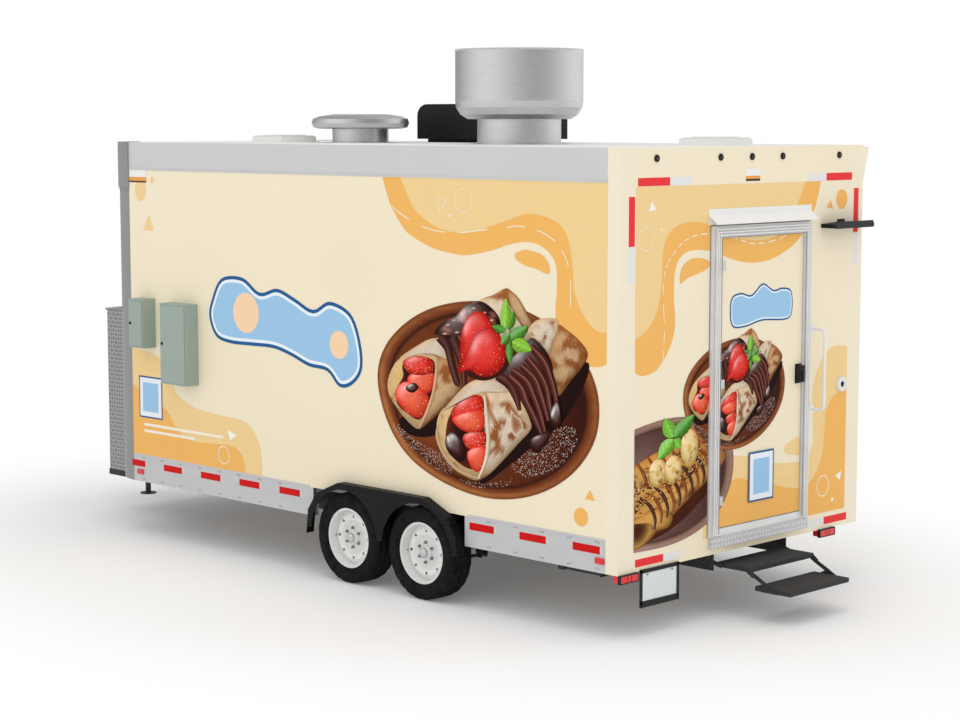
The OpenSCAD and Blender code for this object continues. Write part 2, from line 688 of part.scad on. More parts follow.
// One link each side hangs the lower step from the upper one, so that it folds in under it
module step_links() color("#222324") from_rear() translate([0, door_mid, 0]) both_sides() {
    slab_xz(link_y, link_y + step_ear) {
        for (p = [[link_x, link_z], [link_end_x, link_end_z]]) translate(p) circle(r = 13);
        polygon([[link_x - 5, link_z + 12], [link_x + 7, link_z - 11], [link_end_x + 5, link_end_z - 12],
            [link_end_x - 7, link_end_z + 11]]);
    }
    rod_y([link_x, link_y, link_z], link_pin_r, step_w / 2 - link_y - 1);
    rod_y([link_end_x, lower_ear_y - 4, link_end_z], link_pin_r, link_y - lower_ear_y + 5);
}

module step_lower() color("#1a1b1c") from_rear() translate([0, door_mid, 0]) difference() {
    union() {
        block([step_x - step_d, -lower_ear_y, lower_top - step_t], [step_x, lower_ear_y, lower_top]);
        both_sides() slab_xz(lower_ear_y, lower_ear_y + step_ear) polygon([
            [link_end_x - 70, lower_top - 4], [link_end_x - 13, link_end_z + 12], [link_end_x + 13, link_end_z + 12],
            [link_end_x + 70, lower_top - 4], [link_end_x + 70, lower_top - step_t],
            [link_end_x - 70, lower_top - step_t]]);
    }
    both_sides() rod_y([link_end_x, lower_ear_y - 6, link_end_z], link_pin_r + run_fit, 30);
}

// Stabilisers, folded up under the rear corners
module stabiliser(side) color("#1e1f20") from_rear() {
    translate([0, side * leg_y, 0]) {
        block([leg_pin[0] - leg_len, -16, leg_pin[1] - 14], [leg_pin[0], 16, leg_pin[1] + 10]);
        rod_y([leg_pin[0], -16, leg_pin[1]], 14, 32);
        rod_y([leg_pin[0], -leg_ear - ear_t, leg_pin[1]], leg_pin_r, 2 * (leg_ear + ear_t));
        block([leg_pin[0] - leg_len, -45, leg_pin[1] - 14], [leg_pin[0] - leg_len + 6, 45, leg_pin[1] + 18]);
    }
}

// Serving side
module serving_hatch() color("#f2e6cb") from_rear() {
    block([hatch_mid - hatch_w / 2, -half_w - hatch_proud, hatch_z],
        [hatch_mid + hatch_w / 2, -inner_w - 12, hatch_z + hatch_h]);
    rod_x([hatch_mid - hatch_w / 2, hatch_pin_y, hatch_pin_z], hinge_r, hatch_w);
    block([hatch_mid - hatch_w / 2, hatch_pin_y - 3, hatch_z + hatch_h - 40],
        [hatch_mid + hatch_w / 2, -half_w - hatch_proud + 1, hatch_pin_z]);
}

module serving_shelf() color("#c6c8ca") from_rear() {
    block([hatch_mid - hatch_w / 2, shelf_pin[0] - 5, shelf_pin[1] - shelf_d],
        [hatch_mid + hatch_w / 2, shelf_pin[0] - 5 + shelf_t, shelf_pin[1] - 12]);
    rod_x([hatch_mid - hatch_w / 2, shelf_pin[0], shelf_pin[1]], hinge_r, hatch_w);
    block([hatch_mid - hatch_w / 2, shelf_pin[0] - 5, shelf_pin[1] - 13],
        [hatch_mid + hatch_w / 2, shelf_pin[0] + 5, shelf_pin[1]]);
}

module service_window() color("#b4b6b8") from_rear() {
    x0 = hatch_mid - hatch_w / 2;
    x1 = hatch_mid + hatch_w / 2;
    y0 = -inner_w;
    y1 = y0 + window_depth;
    z0 = hatch_z;
    z1 = hatch_z + hatch_h;
    bay = (hatch_w - window_rail) / 4;
    difference() {
        block([x0 - window_rail, y0, z0 - window_rail], [x1 + window_rail, y1, z1 + window_rail]);
        for (i = [0:3]) {
            left = x0 + window_rail / 2 + i * bay;
            middle = i == 1 || i == 2;
            block([left + (i == 2 ? -eps : window_rail / 2), y0 - eps, z0 + window_rail / 2],
                [left + bay - (i == 1 ? -eps : window_rail / 2), y1 + eps, z1 - window_rail / 2]);
        }
    }
    for (i = [0, 3]) {
        left = x0 + window_rail / 2 + i * bay;
        block([left, y0 + 15, z0], [left + bay, y0 + 21, z1]);
    }
}

module hatch_hood() color("#f2e6cb") from_rear() mirror([0, 1, 0])
    slab_yz(0, straight_len) polygon([[half_w, roof_z - 14], [half_w + hood_out, roof_z - 14],
        [half_w + hood_out, roof_z - 26], [half_w, roof_z - 14 - hood_h]]);

// Roof units
module ring(points) rotate_extrude($fn = 96) polygon(points);
module exhaust_bowl() color("#b9bbbd") from_rear() translate([fan_x, 0, roof_z]) {
    neck = fan_neck_d / 2;
    bowl = fan_d / 2;
    ring([
        [neck - 4, 0], [neck, 0], [neck, fan_neck_h], [bowl - 90, fan_neck_h],
        [bowl - 36, fan_neck_h + 34], [bowl - 6, fan_neck_h + 84], [bowl, fan_neck_h + 130],
        [bowl, fan_neck_h + fan_h - 14], [bowl + 6, fan_neck_h + fan_h], [bowl - 5, fan_neck_h + fan_h],
        [bowl - 5, fan_neck_h + 132], [bowl - 12, fan_neck_h + 88], [bowl - 42, fan_neck_h + 40],
        [bowl - 92, fan_neck_h + fan_floor], [neck - 4, fan_neck_h + fan_floor]
    ]);
    translate([0, 0, -30]) ring([[neck - 24, 0], [neck - 20 - seat, 0], [neck - 20 - seat, 30], [neck - 24, 30]]);
    ring([[neck - 24, 0], [neck + 60, 0], [neck + 60, 3], [neck - 24, 3]]);
}

module exhaust_motor() color("#8f9193") from_rear() translate([fan_x, 0, roof_z + fan_neck_h + fan_floor]) {
    ring([[0, motor_h], [motor_d / 2, motor_h], [motor_d / 2, strut_h - 4], [motor_d / 2 - 4, strut_h - 4],
        [motor_d / 2 - 4, motor_h - 4], [0, motor_h - 4]]);
    for (a = [0:90:270]) rotate(a) block([motor_d / 2 - 40, -12, 0], [fan_neck_d / 2 + 40, 12, strut_h]);
}

module mushroom_vent() color("#a9abad") from_rear() translate([cap_x, 0, roof_z]) {
    neck = cap_neck_d / 2;
    cap = cap_d / 2;
    ring([[neck - 4, 0], [neck, 0], [neck, cap_neck_h + 20], [neck - 4, cap_neck_h + 20]]);
    ring([[0, cap_neck_h + 20], [neck + 30, cap_neck_h + 20], [cap - 60, cap_neck_h],
        [cap - 14, cap_neck_h + 10], [cap, cap_neck_h + 42], [cap - 10, cap_neck_h + 76],
        [cap - 60, cap_neck_h + 96], [cap - 170, cap_neck_h + cap_h], [0, cap_neck_h + cap_h]]);
    ring([[neck - 24, 0], [neck + 50, 0], [neck + 50, 3], [neck - 24, 3]]);
}

module air_conditioner() color("#17181a") from_rear() translate([ac_mid[0], ac_mid[1], roof_z]) {
    block([-ac_len / 2 + 60, -ac_w / 2 + 60, 0], [ac_len / 2 - 60, ac_w / 2 - 60, 30]);
    slab_xz(-ac_w / 2, ac_w / 2) polygon(concat(
        [[-ac_len / 2, 26], [ac_len / 2, 26]],
        [for (a = [0:15:90]) [ac_len / 2 - 110 + 110 * cos(a), ac_h - 90 + 90 * sin(a)]],
        [for (a = [90:15:180]) [-ac_len / 2 + 110 + 110 * cos(a), ac_h - 90 + 90 * sin(a)]]));
}

module roof_vents() color("#f1f1ef") from_rear()
    for (p = [[4450, 250], [620, -420]]) translate([p[0], p[1], roof_z]) {
        block([-vent_side / 2 - 20, -vent_side / 2 - 20, 0], [vent_side / 2 + 20, vent_side / 2 + 20, 5]);
        block([-vent_side / 2, -vent_side / 2, 0], [vent_side / 2, vent_side / 2, vent_h]);
    }

// Front box
module box_side() polygon([[box_x, box_z], [box_x + box_d, box_z], [box_x + box_d, box_z + box_front_h],
    [box_x, box_z + box_h]]);
module front_box() color("#8f9294") from_rear() {
    difference() {
        slab_xz(-box_w / 2, box_w / 2) box_side();
        slab_xz(-box_w / 2 + box_t, box_w / 2 - box_t) polygon([[box_x + box_t, box_z + box_t],
            [box_x + box_d - box_t, box_z + box_t], [box_x + box_d - box_t, box_z + box_h + eps],
            [box_x + box_t, box_z + box_h + eps]]);
        both_sides() translate([0, 0, ride_h - seat]) linear_extrude(rail_h + 2 * seat) polygon([
            for (x = [box_x - 40, box_x + box_d + 40]) [x, tongue_y(x) + seat],
            for (x = [box_x + box_d + 40, box_x - 40]) [x, tongue_y(x) - tongue_w - seat]]);
    }
    for (y = [-box_w / 4, box_w / 4]) {
        rod_y([lid_pin[0], y - lid_hinge_w / 2, lid_pin[1]], lid_pin_r, lid_hinge_w);
        block([box_x, y - lid_hinge_w / 2, lid_pin[1] - 30], [box_x + box_t, y + lid_hinge_w / 2, lid_pin[1]]);
        block([box_x, y - lid_hinge_w / 2, lid_pin[1] - 4],
            [lid_pin[0], y + lid_hinge_w / 2, lid_pin[1] + 4]);
    }
}
module front_box_lid() color("#9b9ea0") from_rear() {
    slope = lid_fall / box_d;
    back = box_x + 24;
    front = box_x + box_d + 12;
    rim = box_z + box_h + seat;
    slab_xz(-box_w / 2 - 8, box_w / 2 + 8) polygon([
        [back, rim - slope * (back - box_x)], [front, rim - slope * (front - box_x)],
        [front, rim - slope * (front - box_x) + lid_t], [back, rim - slope * (back - box_x) + lid_t]]);
}

frame_rails();
cross_members();
tongue_rails();
coupler();
tongue_jack();
axles();
leaf_springs();
floor();
wheel_wells();
fenders();
side_skirts();
street_wall();
curb_wall();
nose_wall();
rear_wall();
roof();
top_rails();
front_corner_posts();
rear_corner_posts();
door_frame();
door_drip_cap();
threshold_plate();
grab_handle();
water_inlet();
rear_floodlight();
tail_lights();
licence_plate();
step_bracket();
electrical_boxes();
exhaust_bowl();
exhaust_motor();
mushroom_vent();
air_conditioner();
roof_vents();
service_window();
hatch_hood();
front_box();
front_box_lid();
tyre(axle_xs[1], 1);  // tyre_front_street
tyre(axle_xs[1], -1);  // tyre_front_curb
tyre(axle_xs[0], 1);  // tyre_rear_street
tyre(axle_xs[0], -1);  // tyre_rear_curb
wheel(axle_xs[1], 1);  // wheel_front_street
wheel(axle_xs[1], -1);  // wheel_front_curb
wheel(axle_xs[0], 1);  // wheel_rear_street
wheel(axle_xs[0], -1);  // wheel_rear_curb
entry_door();
serving_hatch();
serving_shelf();
step_arms();
step_upper();
step_links();
step_lower();
stabiliser(1);  // stabiliser_street
stabiliser(-1);  // stabiliser_curb
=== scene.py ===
"""Food trailer: the looks, laid over the CAD frame. Metres, +X to the coupler, +Y to the street, +Z up."""
import math
import random

import bmesh
import bpy
import numpy as np
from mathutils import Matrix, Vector, noise
from mathutils.geometry import tessellate_polygon


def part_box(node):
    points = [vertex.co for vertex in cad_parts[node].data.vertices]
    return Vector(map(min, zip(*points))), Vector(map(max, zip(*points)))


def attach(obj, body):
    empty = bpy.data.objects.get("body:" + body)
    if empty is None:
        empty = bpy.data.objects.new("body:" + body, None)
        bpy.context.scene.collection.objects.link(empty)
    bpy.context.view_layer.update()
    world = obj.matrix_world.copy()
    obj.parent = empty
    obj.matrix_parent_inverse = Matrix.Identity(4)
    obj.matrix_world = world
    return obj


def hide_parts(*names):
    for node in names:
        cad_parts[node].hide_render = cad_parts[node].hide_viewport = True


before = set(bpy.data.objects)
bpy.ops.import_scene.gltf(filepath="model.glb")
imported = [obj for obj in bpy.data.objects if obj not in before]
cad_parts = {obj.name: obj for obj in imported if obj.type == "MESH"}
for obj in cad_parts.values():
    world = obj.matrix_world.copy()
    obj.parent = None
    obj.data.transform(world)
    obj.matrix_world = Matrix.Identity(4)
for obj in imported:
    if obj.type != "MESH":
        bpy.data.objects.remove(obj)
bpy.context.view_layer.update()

bl_info = {
    "name": "Food trailer",
    "version": (1, 0, 0),
    "blender": (4, 5, 0),
    "location": "View3D > Sidebar > Food trailer",
    "description": "Finishes, printed film, trim and stage for a two-axle food trailer",
    "category": "Object",
}

MM = 0.001


def corner(node, high=False):
    """One corner of a CAD node's box."""
    return Vector(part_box(node)[1 if high else 0])


def ends(node):
    """The low and the high corner of a CAD node's box."""
    return corner(node), corner(node, True)


REAR_X = corner("rear_wall").x
STREET_Y = corner("street_wall", True).y
CURB_Y = corner("top_rails").y
DOOR_LOW, DOOR_HIGH = ends("entry_door")
ROOF_Z = corner("roof", True).z
SKIRT_LOW, SKIRT_HIGH = ends("side_skirts")
WALL_LOW, WALL_HIGH = ends("street_wall")
FRAME_LOW, FRAME_HIGH = ends("door_frame")
POST_X, NOSE_HALF = corner("front_corner_posts").x, corner("nose_wall", True).y

# ---------------------------------------------------------------- colours and nodes


def linear(text):
    """A linear colour from an sRGB hex value. A colour that is linear already stays as it is."""
    if not isinstance(text, str):
        return (*text[:3], 1.0)
    channels = [int(text[i:i + 2], 16) / 255 for i in (1, 3, 5)]
    return tuple(c / 12.92 if c <= 0.04045 else ((c + 0.055) / 1.055) ** 2.4 for c in channels) + (1.0,)


def add(tree, kind, inputs=None, **settings):
    """Adds a node, with its settings, values and links."""
    made = tree.nodes.new(kind)
    for key, value in settings.items():
        setattr(made, key, value)
    for key, value in (inputs or {}).items():
        if isinstance(value, bpy.types.NodeSocket):
            tree.links.new(value, made.inputs[key])
        else:
            made.inputs[key].default_value = value
    return made


def surface(name, colour, roughness, **values):
    """A Principled material. Returns it, its tree and its shader."""
    made = bpy.data.materials.new(name)
    made.use_nodes = True
    shader = made.node_tree.nodes["Principled BSDF"]
    shader.inputs["Base Color"].default_value = linear(colour)
    shader.inputs["Roughness"].default_value = roughness
    for key, value in values.items():
        shader.inputs[key.replace("_", " ")].default_value = value
    made.diffuse_color = linear(colour)
    return made, made.node_tree, shader


def places(tree, scale=(1, 1, 1)):
    """Object coordinates in metres, stretched by a scale."""
    found = add(tree, "ShaderNodeTexCoord").outputs["Object"]
    return add(tree, "ShaderNodeMapping", {"Vector": found, "Scale": scale}).outputs["Vector"]


def mottle(tree, shader, low, high, size_mm, where=None, spread=(0.35, 0.65), detail=4):
    """Colour that wanders between two hex values, in patches of a size in millimetres."""
    cloud = add(tree, "ShaderNodeTexNoise", {"Vector": where or places(tree), "Scale": 1000 / size_mm,
                                             "Detail": detail}).outputs["Fac"]
    ramp = add(tree, "ShaderNodeValToRGB", {"Fac": cloud})
    ramp.color_ramp.elements[0].position, ramp.color_ramp.elements[1].position = spread
    ramp.color_ramp.elements[0].color, ramp.color_ramp.elements[1].color = linear(low), linear(high)
    tree.links.new(ramp.outputs["Color"], shader.inputs["Base Color"])
    return ramp.outputs["Color"]


def roughen(tree, shader, low, high, size_mm, where=None):
    """Roughness that wanders between two values."""
    cloud = add(tree, "ShaderNodeTexNoise", {"Vector": where or places(tree), "Scale": 1000 / size_mm,
                                             "Detail": 3})
    span = add(tree, "ShaderNodeMapRange", {"Value": cloud.outputs["Fac"], "From Min": 0.3, "From Max": 0.7,
                                            "To Min": low, "To Max": high})
    tree.links.new(span.outputs["Result"], shader.inputs["Roughness"])


def tint(tree, shader, factor, first, second, blend="MIX"):
    """Base colour mixed from two colours, each a linear colour or a socket."""
    mix = add(tree, "ShaderNodeMix", {0: factor, 6: first, 7: second}, data_type="RGBA", blend_type=blend)
    tree.links.new(mix.outputs[2], shader.inputs["Base Color"])


def emboss(tree, shader, height, depth_mm, strength=1.0):
    """Bump from a height socket that runs from 0 to 1."""
    bump = add(tree, "ShaderNodeBump", {"Height": height, "Distance": depth_mm * MM, "Strength": strength})
    tree.links.new(bump.outputs["Normal"], shader.inputs["Normal"])


def grain(tree, shader, size_mm, depth_mm, strength=0.5):
    """Fine noise bump of a grain size in millimetres."""
    cloud = add(tree, "ShaderNodeTexNoise", {"Vector": places(tree), "Scale": 1000 / size_mm,
                                             "Detail": 2})
    emboss(tree, shader, cloud.outputs["Fac"], depth_mm, strength)


def maths(tree, operation, *values):
    """A Math node's result."""
    return add(tree, "ShaderNodeMath", dict(enumerate(values)), operation=operation).outputs[0]


def face_plane(tree):
    """Two in-plane coordinates in metres, picked by which way a face looks, and the third axis left out."""
    texture = add(tree, "ShaderNodeTexCoord")
    at = add(tree, "ShaderNodeSeparateXYZ", {"Vector": texture.outputs["Object"]}).outputs
    look = add(tree, "ShaderNodeSeparateXYZ", {"Vector": texture.outputs["Normal"]}).outputs
    on_x = maths(tree, "GREATER_THAN", maths(tree, "ABSOLUTE", look["X"]), 0.7)
    on_z = maths(tree, "GREATER_THAN", maths(tree, "ABSOLUTE", look["Z"]), 0.7)
    across = add(tree, "ShaderNodeMix", {0: on_x, 2: at["X"], 3: at["Y"]}).outputs[0]
    up = add(tree, "ShaderNodeMix", {0: on_z, 2: at["Z"], 3: at["Y"]}).outputs[0]
    return across, up


def tread_height(tree, pitch_mm):
    """Height of a lozenge tread: one raised bar to a cell, turned 45 degrees one way and then the other."""
    across, up = face_plane(tree)
    u, v = (maths(tree, "MULTIPLY", socket, 1000 / pitch_mm) for socket in (across, up))
    cell = maths(tree, "ADD", maths(tree, "FLOOR", u), maths(tree, "FLOOR", v))
    odd = maths(tree, "MULTIPLY", maths(tree, "PINGPONG", cell, 1.0), 2.0)
    turn = maths(tree, "SUBTRACT", odd, 1.0)
    a = maths(tree, "SUBTRACT", maths(tree, "FRACT", u), 0.5)
    b = maths(tree, "MULTIPLY", maths(tree, "SUBTRACT", maths(tree, "FRACT", v), 0.5), turn)
    along = maths(tree, "MULTIPLY", maths(tree, "ADD", a, b), 1.25)
    over = maths(tree, "MULTIPLY", maths(tree, "SUBTRACT", a, b), 4.2)
    far = maths(tree, "SQRT", maths(tree, "ADD", maths(tree, "MULTIPLY", along, along),
                                    maths(tree, "MULTIPLY", over, over)))
    return add(tree, "ShaderNodeMapRange", {"Value": far, "From Min": 0.95,
                                            "From Max": 0.6}).outputs["Result"]


# ---------------------------------------------------------------- materials

made_materials = {}


def finish(build):
    """Keeps one copy of each material."""
    def get(*choices):
        key = (build.__name__, choices)
        if key not in made_materials:
            made_materials[key] = build(*choices)
        return made_materials[key]
    return get


@finish
def printed_film(name, low, high):
    """Cast vinyl film on aluminium sheet, printed and laminated: an even colour under a clear gloss."""
    made, tree, shader = surface("vinyl_film_" + name, low, 0.5, Specular_IOR_Level=0.12)
    mottle(tree, shader, low, high, 900, spread=(0.3, 0.7), detail=1)
    grain(tree, shader, 3, 0.05, 0.12)
    return made


@finish
def wall_film(inside):
    """Printed film outside and white glass-fibre lining inside, told apart by which way the face looks."""
    made, tree, shader = surface("vinyl_film_and_lining_" + inside, "#F4EAD2", 0.5, Specular_IOR_Level=0.12)
    look = add(tree, "ShaderNodeSeparateXYZ",
               {"Vector": add(tree, "ShaderNodeTexCoord").outputs["Normal"]}).outputs
    turned = {"street": look["Y"], "curb": maths(tree, "MULTIPLY", look["Y"], -1.0),
              "rear": maths(tree, "MULTIPLY", look["X"], -1.0)}[inside]
    outside = maths(tree, "GREATER_THAN", turned, 0.5)
    cloud = add(tree, "ShaderNodeTexNoise", {"Vector": places(tree), "Scale": 0.9,
                                             "Detail": 1.0}).outputs["Fac"]
    cream = add(tree, "ShaderNodeMix", {0: cloud, 6: linear("#F5E9CF"), 7: linear("#F1E5C7")},
                data_type="RGBA")
    pick = add(tree, "ShaderNodeMix", {0: outside, 6: linear("#E9E9E6"),
                                       "B": cream.outputs["Result"]}, data_type="RGBA")
    if inside == "rear":  # the hinge halves stand proud of the leaf and are bare metal
        at = add(tree, "ShaderNodeSeparateXYZ",
                 {"Vector": add(tree, "ShaderNodeTexCoord").outputs["Object"]}).outputs
        proud = maths(tree, "LESS_THAN", at["X"], REAR_X - 0.0125)
        pick = add(tree, "ShaderNodeMix", {0: proud, 6: pick.outputs[2], 7: linear("#CDCDCD")},
                   data_type="RGBA")
    tree.links.new(pick.outputs[2], shader.inputs["Base Color"])
    grain(tree, shader, 4, 0.08, 0.12)
    return made


@finish
def enamel(name, colour, roughness):
    """Baked enamel on sheet metal: smooth, with a slight orange peel."""
    made, tree, shader = surface("enamel_" + name, colour, roughness, Specular_IOR_Level=0.25)
    cloud = add(tree, "ShaderNodeTexNoise", {"Vector": places(tree), "Scale": 2.5,
                                             "Detail": 3.0}).outputs["Fac"]
    tint(tree, shader, 0.06, linear(colour), cloud, "MULTIPLY")
    grain(tree, shader, 5, 0.1, 0.15)
    return made


@finish
def mill_aluminium(name, low, high):
    """Mill-finish aluminium sheet, rolled: faint long streaks along the sheet."""
    made, tree, shader = surface("mill_aluminium_" + name, low, 0.5, Metallic=0.15, Specular_IOR_Level=0.2)
    streaks = places(tree, (1.2, 8, 8))
    mottle(tree, shader, low, high, 900, streaks, (0.2, 0.8), 2)
    roughen(tree, shader, 0.34, 0.52, 500, streaks)
    return made


@finish
def stainless_steel():
    """Brushed stainless steel, spun and polished: rings of fine brushing and soft reflections."""
    made, tree, shader = surface("stainless_steel_spun", "#CBCBCC", 0.3, Metallic=0.95, Anisotropic=0.4)
    rings = places(tree, (3, 3, 60))
    mottle(tree, shader, "#C8C8C9", "#CFCFD0", 400, rings, (0.3, 0.7))
    roughen(tree, shader, 0.26, 0.34, 300, rings)
    return made


@finish
def tread_plate(name, low, high, metallic, pitch_mm):
    """Aluminium tread plate, rolled with raised lozenges in two directions; the raised bars are drawn in the
    lighter colour.
    """
    made, tree, shader = surface("tread_plate_" + name, low, 0.45, Metallic=metallic, Specular_IOR_Level=0.15)
    height = tread_height(tree, pitch_mm)
    tint(tree, shader, height, linear(low), linear(high))
    emboss(tree, shader, height, 2.5, 1.0)
    return made


@finish
def black_steel(name, low, high):
    """Steel in black chassis paint, sprayed: satin, with dust in the hollows."""
    made, tree, shader = surface("black_chassis_paint_" + name, low, 0.5)
    mottle(tree, shader, low, high, 160)
    roughen(tree, shader, 0.42, 0.62, 90)
    grain(tree, shader, 3, 0.15, 0.3)
    return made


@finish
def grip_coating():
    """Gritty black non-slip coating on steel: grit of about 1.5 mm, drawn at 5 mm so that it shows."""
    made, tree, shader = surface("non_slip_coating", "#2E2E30", 0.85)
    mottle(tree, shader, "#252527", "#3E3E40", 12)
    grain(tree, shader, 5, 1.2, 0.8)
    return made


@finish
def zinc_plate():
    """Zinc-plated steel: spangled grey with a soft shine."""
    made, tree, shader = surface("zinc_plated_steel", "#8D9093", 0.42, Metallic=0.8)
    cells = add(tree, "ShaderNodeTexVoronoi", {"Vector": places(tree), "Scale": 70.0}).outputs["Color"]
    tint(tree, shader, 0.18, linear("#8D9093"), cells, "OVERLAY")
    return made


@finish
def tyre_rubber():
    """Moulded tyre rubber: matt, greyed by dust between the treads."""
    made, tree, shader = surface("tyre_rubber", "#161617", 0.85, Specular_IOR_Level=0.12)
    mottle(tree, shader, "#131314", "#202021", 45)
    grain(tree, shader, 2.5, 0.25, 0.35)
    return made


@finish
def moulded_plastic(name, colour, roughness):
    """Moulded ABS: even colour and a fine spark texture."""
    made, tree, shader = surface("abs_" + name, colour, roughness, Specular_IOR_Level=0.25)
    grain(tree, shader, 2, 0.1, 0.25)
    roughen(tree, shader, roughness - 0.06, roughness + 0.08, 60)
    return made


@finish
def reflective_tape(name, colour):
    """Prismatic reflective tape: small sealed cells of 4 mm, drawn at 8 mm so that they show."""
    made, tree, shader = surface("reflective_tape_" + name, colour, 0.5, Specular_IOR_Level=0.12)
    cells = add(tree, "ShaderNodeTexVoronoi", {"Vector": places(tree), "Scale": 125.0},
                feature="DISTANCE_TO_EDGE")
    emboss(tree, shader, cells.outputs["Distance"], 0.4, 0.3)
    tint(tree, shader, 0.1, linear(colour), cells.outputs["Distance"], "MULTIPLY")
    return made


@finish
def lamp_lens(name, colour):
    """Moulded acrylic lens: deep clear colour over fine vertical flutes of 6 mm."""
    made, tree, shader = surface("acrylic_lens_" + name, colour, 0.2, Coat_Weight=0.3)
    flutes = add(tree, "ShaderNodeTexWave", {"Vector": places(tree), "Scale": 26.0}, bands_direction="Y")
    emboss(tree, shader, flutes.outputs["Fac"], 0.8, 0.5)
    mottle(tree, shader, colour, colour, 50)
    return made


@finish
def plywood():
    """Sealed floor plywood: long grain and a worn sheen."""
    made, tree, shader = surface("sealed_plywood", "#8C7A62", 0.55)
    mottle(tree, shader, "#7D6B54", "#9C8A70", 260, places(tree, (1, 14, 1)), (0.3, 0.7))
    roughen(tree, shader, 0.45, 0.7, 200)
    return made


@finish
def roof_membrane():
    """White roof membrane with a fine chalky bloom."""
    made, tree, shader = surface("roof_membrane", "#E6E6E3", 0.7)
    mottle(tree, shader, "#DCDCD8", "#EEEEEB", 600)
    grain(tree, shader, 6, 0.2, 0.3)
    return made


@finish
def window_glass():
    """Float glass, lightly tinted."""
    made, tree, shader = surface("float_glass", "#DDE6E4", 0.04, Transmission_Weight=0.85, IOR=1.45)
    roughen(tree, shader, 0.02, 0.06, 400)
    return made


@finish
def food_print():
    """Printed film with the menu picture: inks from the mesh's colours, with a fine dot over them."""
    made, tree, shader = surface("vinyl_film_food_print", "#B07040", 0.5, Specular_IOR_Level=0.06)
    ink = add(tree, "ShaderNodeAttribute", attribute_name="ink").outputs["Color"]
    cloud = add(tree, "ShaderNodeTexNoise", {"Vector": places(tree), "Scale": 110.0,
                                             "Detail": 3.0}).outputs["Fac"]
    span = add(tree, "ShaderNodeMapRange", {"Value": cloud, "To Min": 0.78, "To Max": 1.18})
    tint(tree, shader, 1.0, ink, span.outputs["Result"], "MULTIPLY")
    return made


@finish
def studio_floor():
    """Seamless white paper on the studio floor."""
    made, tree, shader = surface("backdrop_paper", "#EEEEEE", 0.95, Specular_IOR_Level=0.0)
    mottle(tree, shader, "#EDEDED", "#EFEFEF", 3000)
    shader.inputs["Emission Color"].default_value = (1, 1, 1, 1)
    shader.inputs["Emission Strength"].default_value = 0.1
    # paper far from the object fades to a glowing white sweep
    away = add(tree, "ShaderNodeVectorMath", {0: places(tree, (1, 1.4, 0))},
               operation="LENGTH").outputs["Value"]
    fade = add(tree, "ShaderNodeMapRange", {"Value": away, "From Min": 3.6, "From Max": 6.2},
               interpolation_type="SMOOTHSTEP").outputs["Result"]
    glow = add(tree, "ShaderNodeEmission", {"Color": (1, 1, 1, 1), "Strength": 1.0})
    both = add(tree, "ShaderNodeMixShader", {0: fade, 1: shader.outputs["BSDF"], 2: glow.outputs["Emission"]})
    tree.links.new(both.outputs["Shader"], tree.nodes["Material Output"].inputs["Surface"])
    return made


# Finishes that several pieces share: name, then colours or colour and roughness
BLACK_ABS = ("black", "#1E1F21", 0.5)
WHITE_ABS = ("white", "#E9E9E7", 0.45)
SHEET = ("sheet", "#DFDFDE", "#E7E7E6")
EDGE = ("edge", "#C4C4C4", "#CECECE")
RED_LENS = ("red", "#DC1216")
# grey of the front corner posts and the nose, darkened with painted shade where these faces turn away from
# the light
GREY_IN_PAINTED_SHADE = ("grey_painted_shade", "#92918F", 0.5)

# ---------------------------------------------------------------- mesh helpers

def put(name, verts, faces, material, body="trailer", slot=None, smooth=False, ink=None):
    """A mesh object in the row frame that rides on a body."""
    mesh = bpy.data.meshes.new(name)
    mesh.from_pydata([tuple(v) for v in verts], [], faces)
    mesh.update()
    if ink is not None:
        layer = mesh.color_attributes.new("ink", "FLOAT_COLOR", "POINT")
        layer.data.foreach_set("color", [c for colour in ink for c in colour])
    mesh.materials.append(material)
    mesh.polygons.foreach_set("use_smooth", [smooth] * len(mesh.polygons))
    made = bpy.data.objects.new(name, mesh)
    bpy.context.scene.collection.objects.link(made)
    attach(made, body)
    return made


def joined(parts):
    """One vertex list and face list out of several."""
    verts, faces = [], []
    for more_verts, more_faces in parts:
        start = len(verts)
        verts += [Vector(v) for v in more_verts]
        faces += [tuple(i + start for i in face) for face in more_faces]
    return verts, faces


def brick(low, high):
    """A box between two corners."""
    (x0, y0, z0), (x1, y1, z1) = low, high
    verts = [(x, y, z) for z in (z0, z1) for y in (y0, y1) for x in (x0, x1)]
    return verts, [(0, 2, 3, 1), (4, 5, 7, 6), (0, 1, 5, 4), (2, 6, 7, 3), (0, 4, 6, 2), (1, 3, 7, 5)]


def soft_brick(low, high, bevel):
    """A box with its edges bevelled."""
    mesh = bmesh.new()
    verts, faces = brick(low, high)
    made = [mesh.verts.new(v) for v in verts]
    for face in faces:
        mesh.faces.new([made[i] for i in face])
    bmesh.ops.bevel(mesh, geom=mesh.edges[:], offset=bevel, segments=2, affect="EDGES", profile=0.7)
    mesh.verts.index_update()
    out = [v.co.copy() for v in mesh.verts], [tuple(v.index for v in f.verts) for f in mesh.faces]
    mesh.free()
    return out


def bars(bevel, *limits):
    """Bevelled boxes, each from its low corner and then its high corner in one row of six."""
    return [soft_brick(row[:3], row[3:], bevel) for row in limits]


def fit(name, parts, material, slot, smooth=False):
    """Several parts as one piece that rides on the trailer."""
    return put(name, *joined(parts), material, "trailer", slot, smooth)


def axes_for(direction):
    """Two unit vectors square to a direction."""
    forward = Vector(direction).normalized()
    side = forward.cross(Vector((0, 0, 1)))
    if side.length < 0.01:
        side = forward.cross(Vector((1, 0, 0)))
    side.normalize()
    return side, side.cross(forward).normalized()


def hoops(rows, steps):
    """Faces between each ring of points and the next."""
    faces = []
    for row in range(rows - 1):
        for i in range(steps):
            a, b = row * steps + i, row * steps + (i + 1) % steps
            faces.append((a, b, b + steps, a + steps))
    return faces


